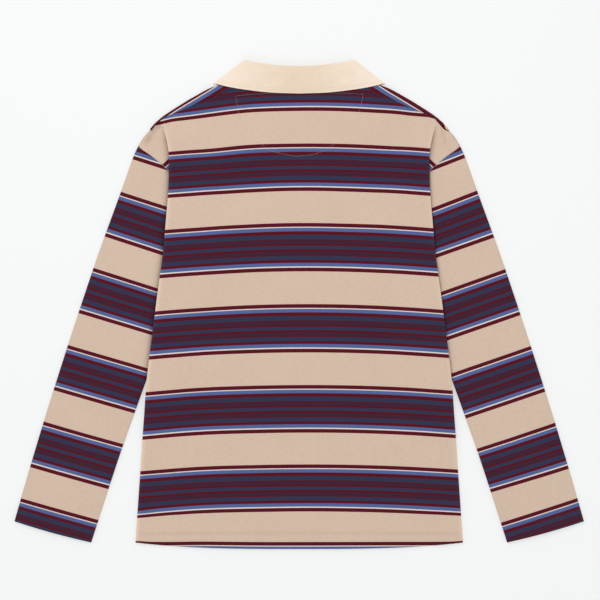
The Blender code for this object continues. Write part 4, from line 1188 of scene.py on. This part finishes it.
# --------------------------------------------------------------------------------------- Buttons
# Three turned buttons with a raised rim and a dished middle, of a pale clouded shell colour. Each
# is sewn to the under strip through four holes with two bars of thread.
BUTTON_FACE = 1.0       # height of the dished face, which looks down
HOLE_OUT, HOLE_WIDTH, HOLE_DEPTH = 1.3, 1.1, 0.12       # from the middle, each way, and its size
BAR_GAP, BAR_SUNK, BAR_THREAD = 0.3, 0.1, 0.7
button_shell, tree, shader = new_material("button_shell", 0.32)
cloud = speckle(tree, node(tree, "TexCoord", {})["Object"], 500.0, 0.5, 4.0)
tree.links.new(colour_mix(tree, cloud, light_colour((236, 226, 208)), light_colour((206, 190, 166))),
               shader["Base Color"])
tree.links.new(bump(tree, cloud, 0.04 * MM, 0.4), shader["Normal"])
holes, bars = bmesh.new(), []
for number, y in enumerate(BUTTON_YS, 1):
    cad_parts[f"button_{number}"].material_slots[0].material = button_shell
    for sx in (-HOLE_OUT, HOLE_OUT):
        bars.append([(Vector((sx, y + share * HOLE_OUT, BUTTON_FACE - BAR_SUNK)), Vector((0.0, 0.0, -1.0)))
                     for share in (-1.0, -0.5, 0.0, 0.5, 1.0)])
        for sy in (-HOLE_OUT, HOLE_OUT):
            made = bmesh.ops.create_cone(holes, cap_ends=True, segments=16, radius1=HOLE_WIDTH / 2 * MM,
                                         radius2=HOLE_WIDTH / 2 * MM, depth=HOLE_DEPTH * MM)
            bmesh.ops.translate(holes, verts=made["verts"], vec=Vector((sx, y + sy, BUTTON_FACE)) * MM)
hole_mesh = bpy.data.meshes.new("button_holes")
holes.to_mesh(hole_mesh)
holes.free()
# Dark discs painted as the shade inside the buttons' four holes
button_holes = put("button_holes", hole_mesh, make_thread("hole_shade", (70, 58, 46), (48, 38, 30)))
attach(button_holes, "root")
sew("button_threads", bars, cream_thread, 2 * HOLE_OUT - BAR_GAP, BAR_THREAD)

# ------------------------------------------------------------------------------ Floor and light
# A plain pale floor that gives a little light of its own, as a light table does, so that shadows
# stay faint. Above it are a large soft lamp and an even pale room, and the camera looks straight down.
FLOOR_REACH, FLOOR_Z = 4.0, -0.5        # metres; and just under the stitches of the front's hem
LAMP_PLACE = (-0.3, 0.95, 1.5)
floor_mesh = bpy.data.meshes.new("floor")
floor_mesh.from_pydata([(x * FLOOR_REACH, y * FLOOR_REACH, FLOOR_Z * MM) for x, y in
                        ((-1, -1), (1, -1), (1, 1), (-1, 1))], [], [(0, 1, 2, 3)])
floor_paper, _, paper = new_material("floor_paper", 0.95)
paper["Base Color"].default_value = (0.50, 0.505, 0.507, 1.0)
paper["Emission Color"].default_value = (0.987, 0.997, 1.0, 1.0)
paper["Emission Strength"].default_value = 0.4313
put("floor", floor_mesh, floor_paper)

world = bpy.data.worlds.new("room")
bpy.context.scene.world = world
world.use_nodes = True
room = world.node_tree.nodes["Background"].inputs
room["Color"].default_value = (1.0, 1.0, 1.0, 1.0)
room["Strength"].default_value = 0.87
lamp = bpy.data.lights.new("key", "AREA")
lamp.shape, lamp.size, lamp.energy = "DISK", 1.1, 5.2
key = put("key", lamp)
key.location = LAMP_PLACE
key.rotation_euler = (-Vector(LAMP_PLACE)).to_track_quat("-Z", "Y").to_euler()

camera = bpy.data.cameras.new("camera")
camera.lens, camera.sensor_width = 85.0, 36.0
view = put("camera", camera)
view.location = (0.0012, 0.00765, 2.125)
bpy.context.scene.camera = view
bpy.context.scene.view_settings.view_transform = "Standard"
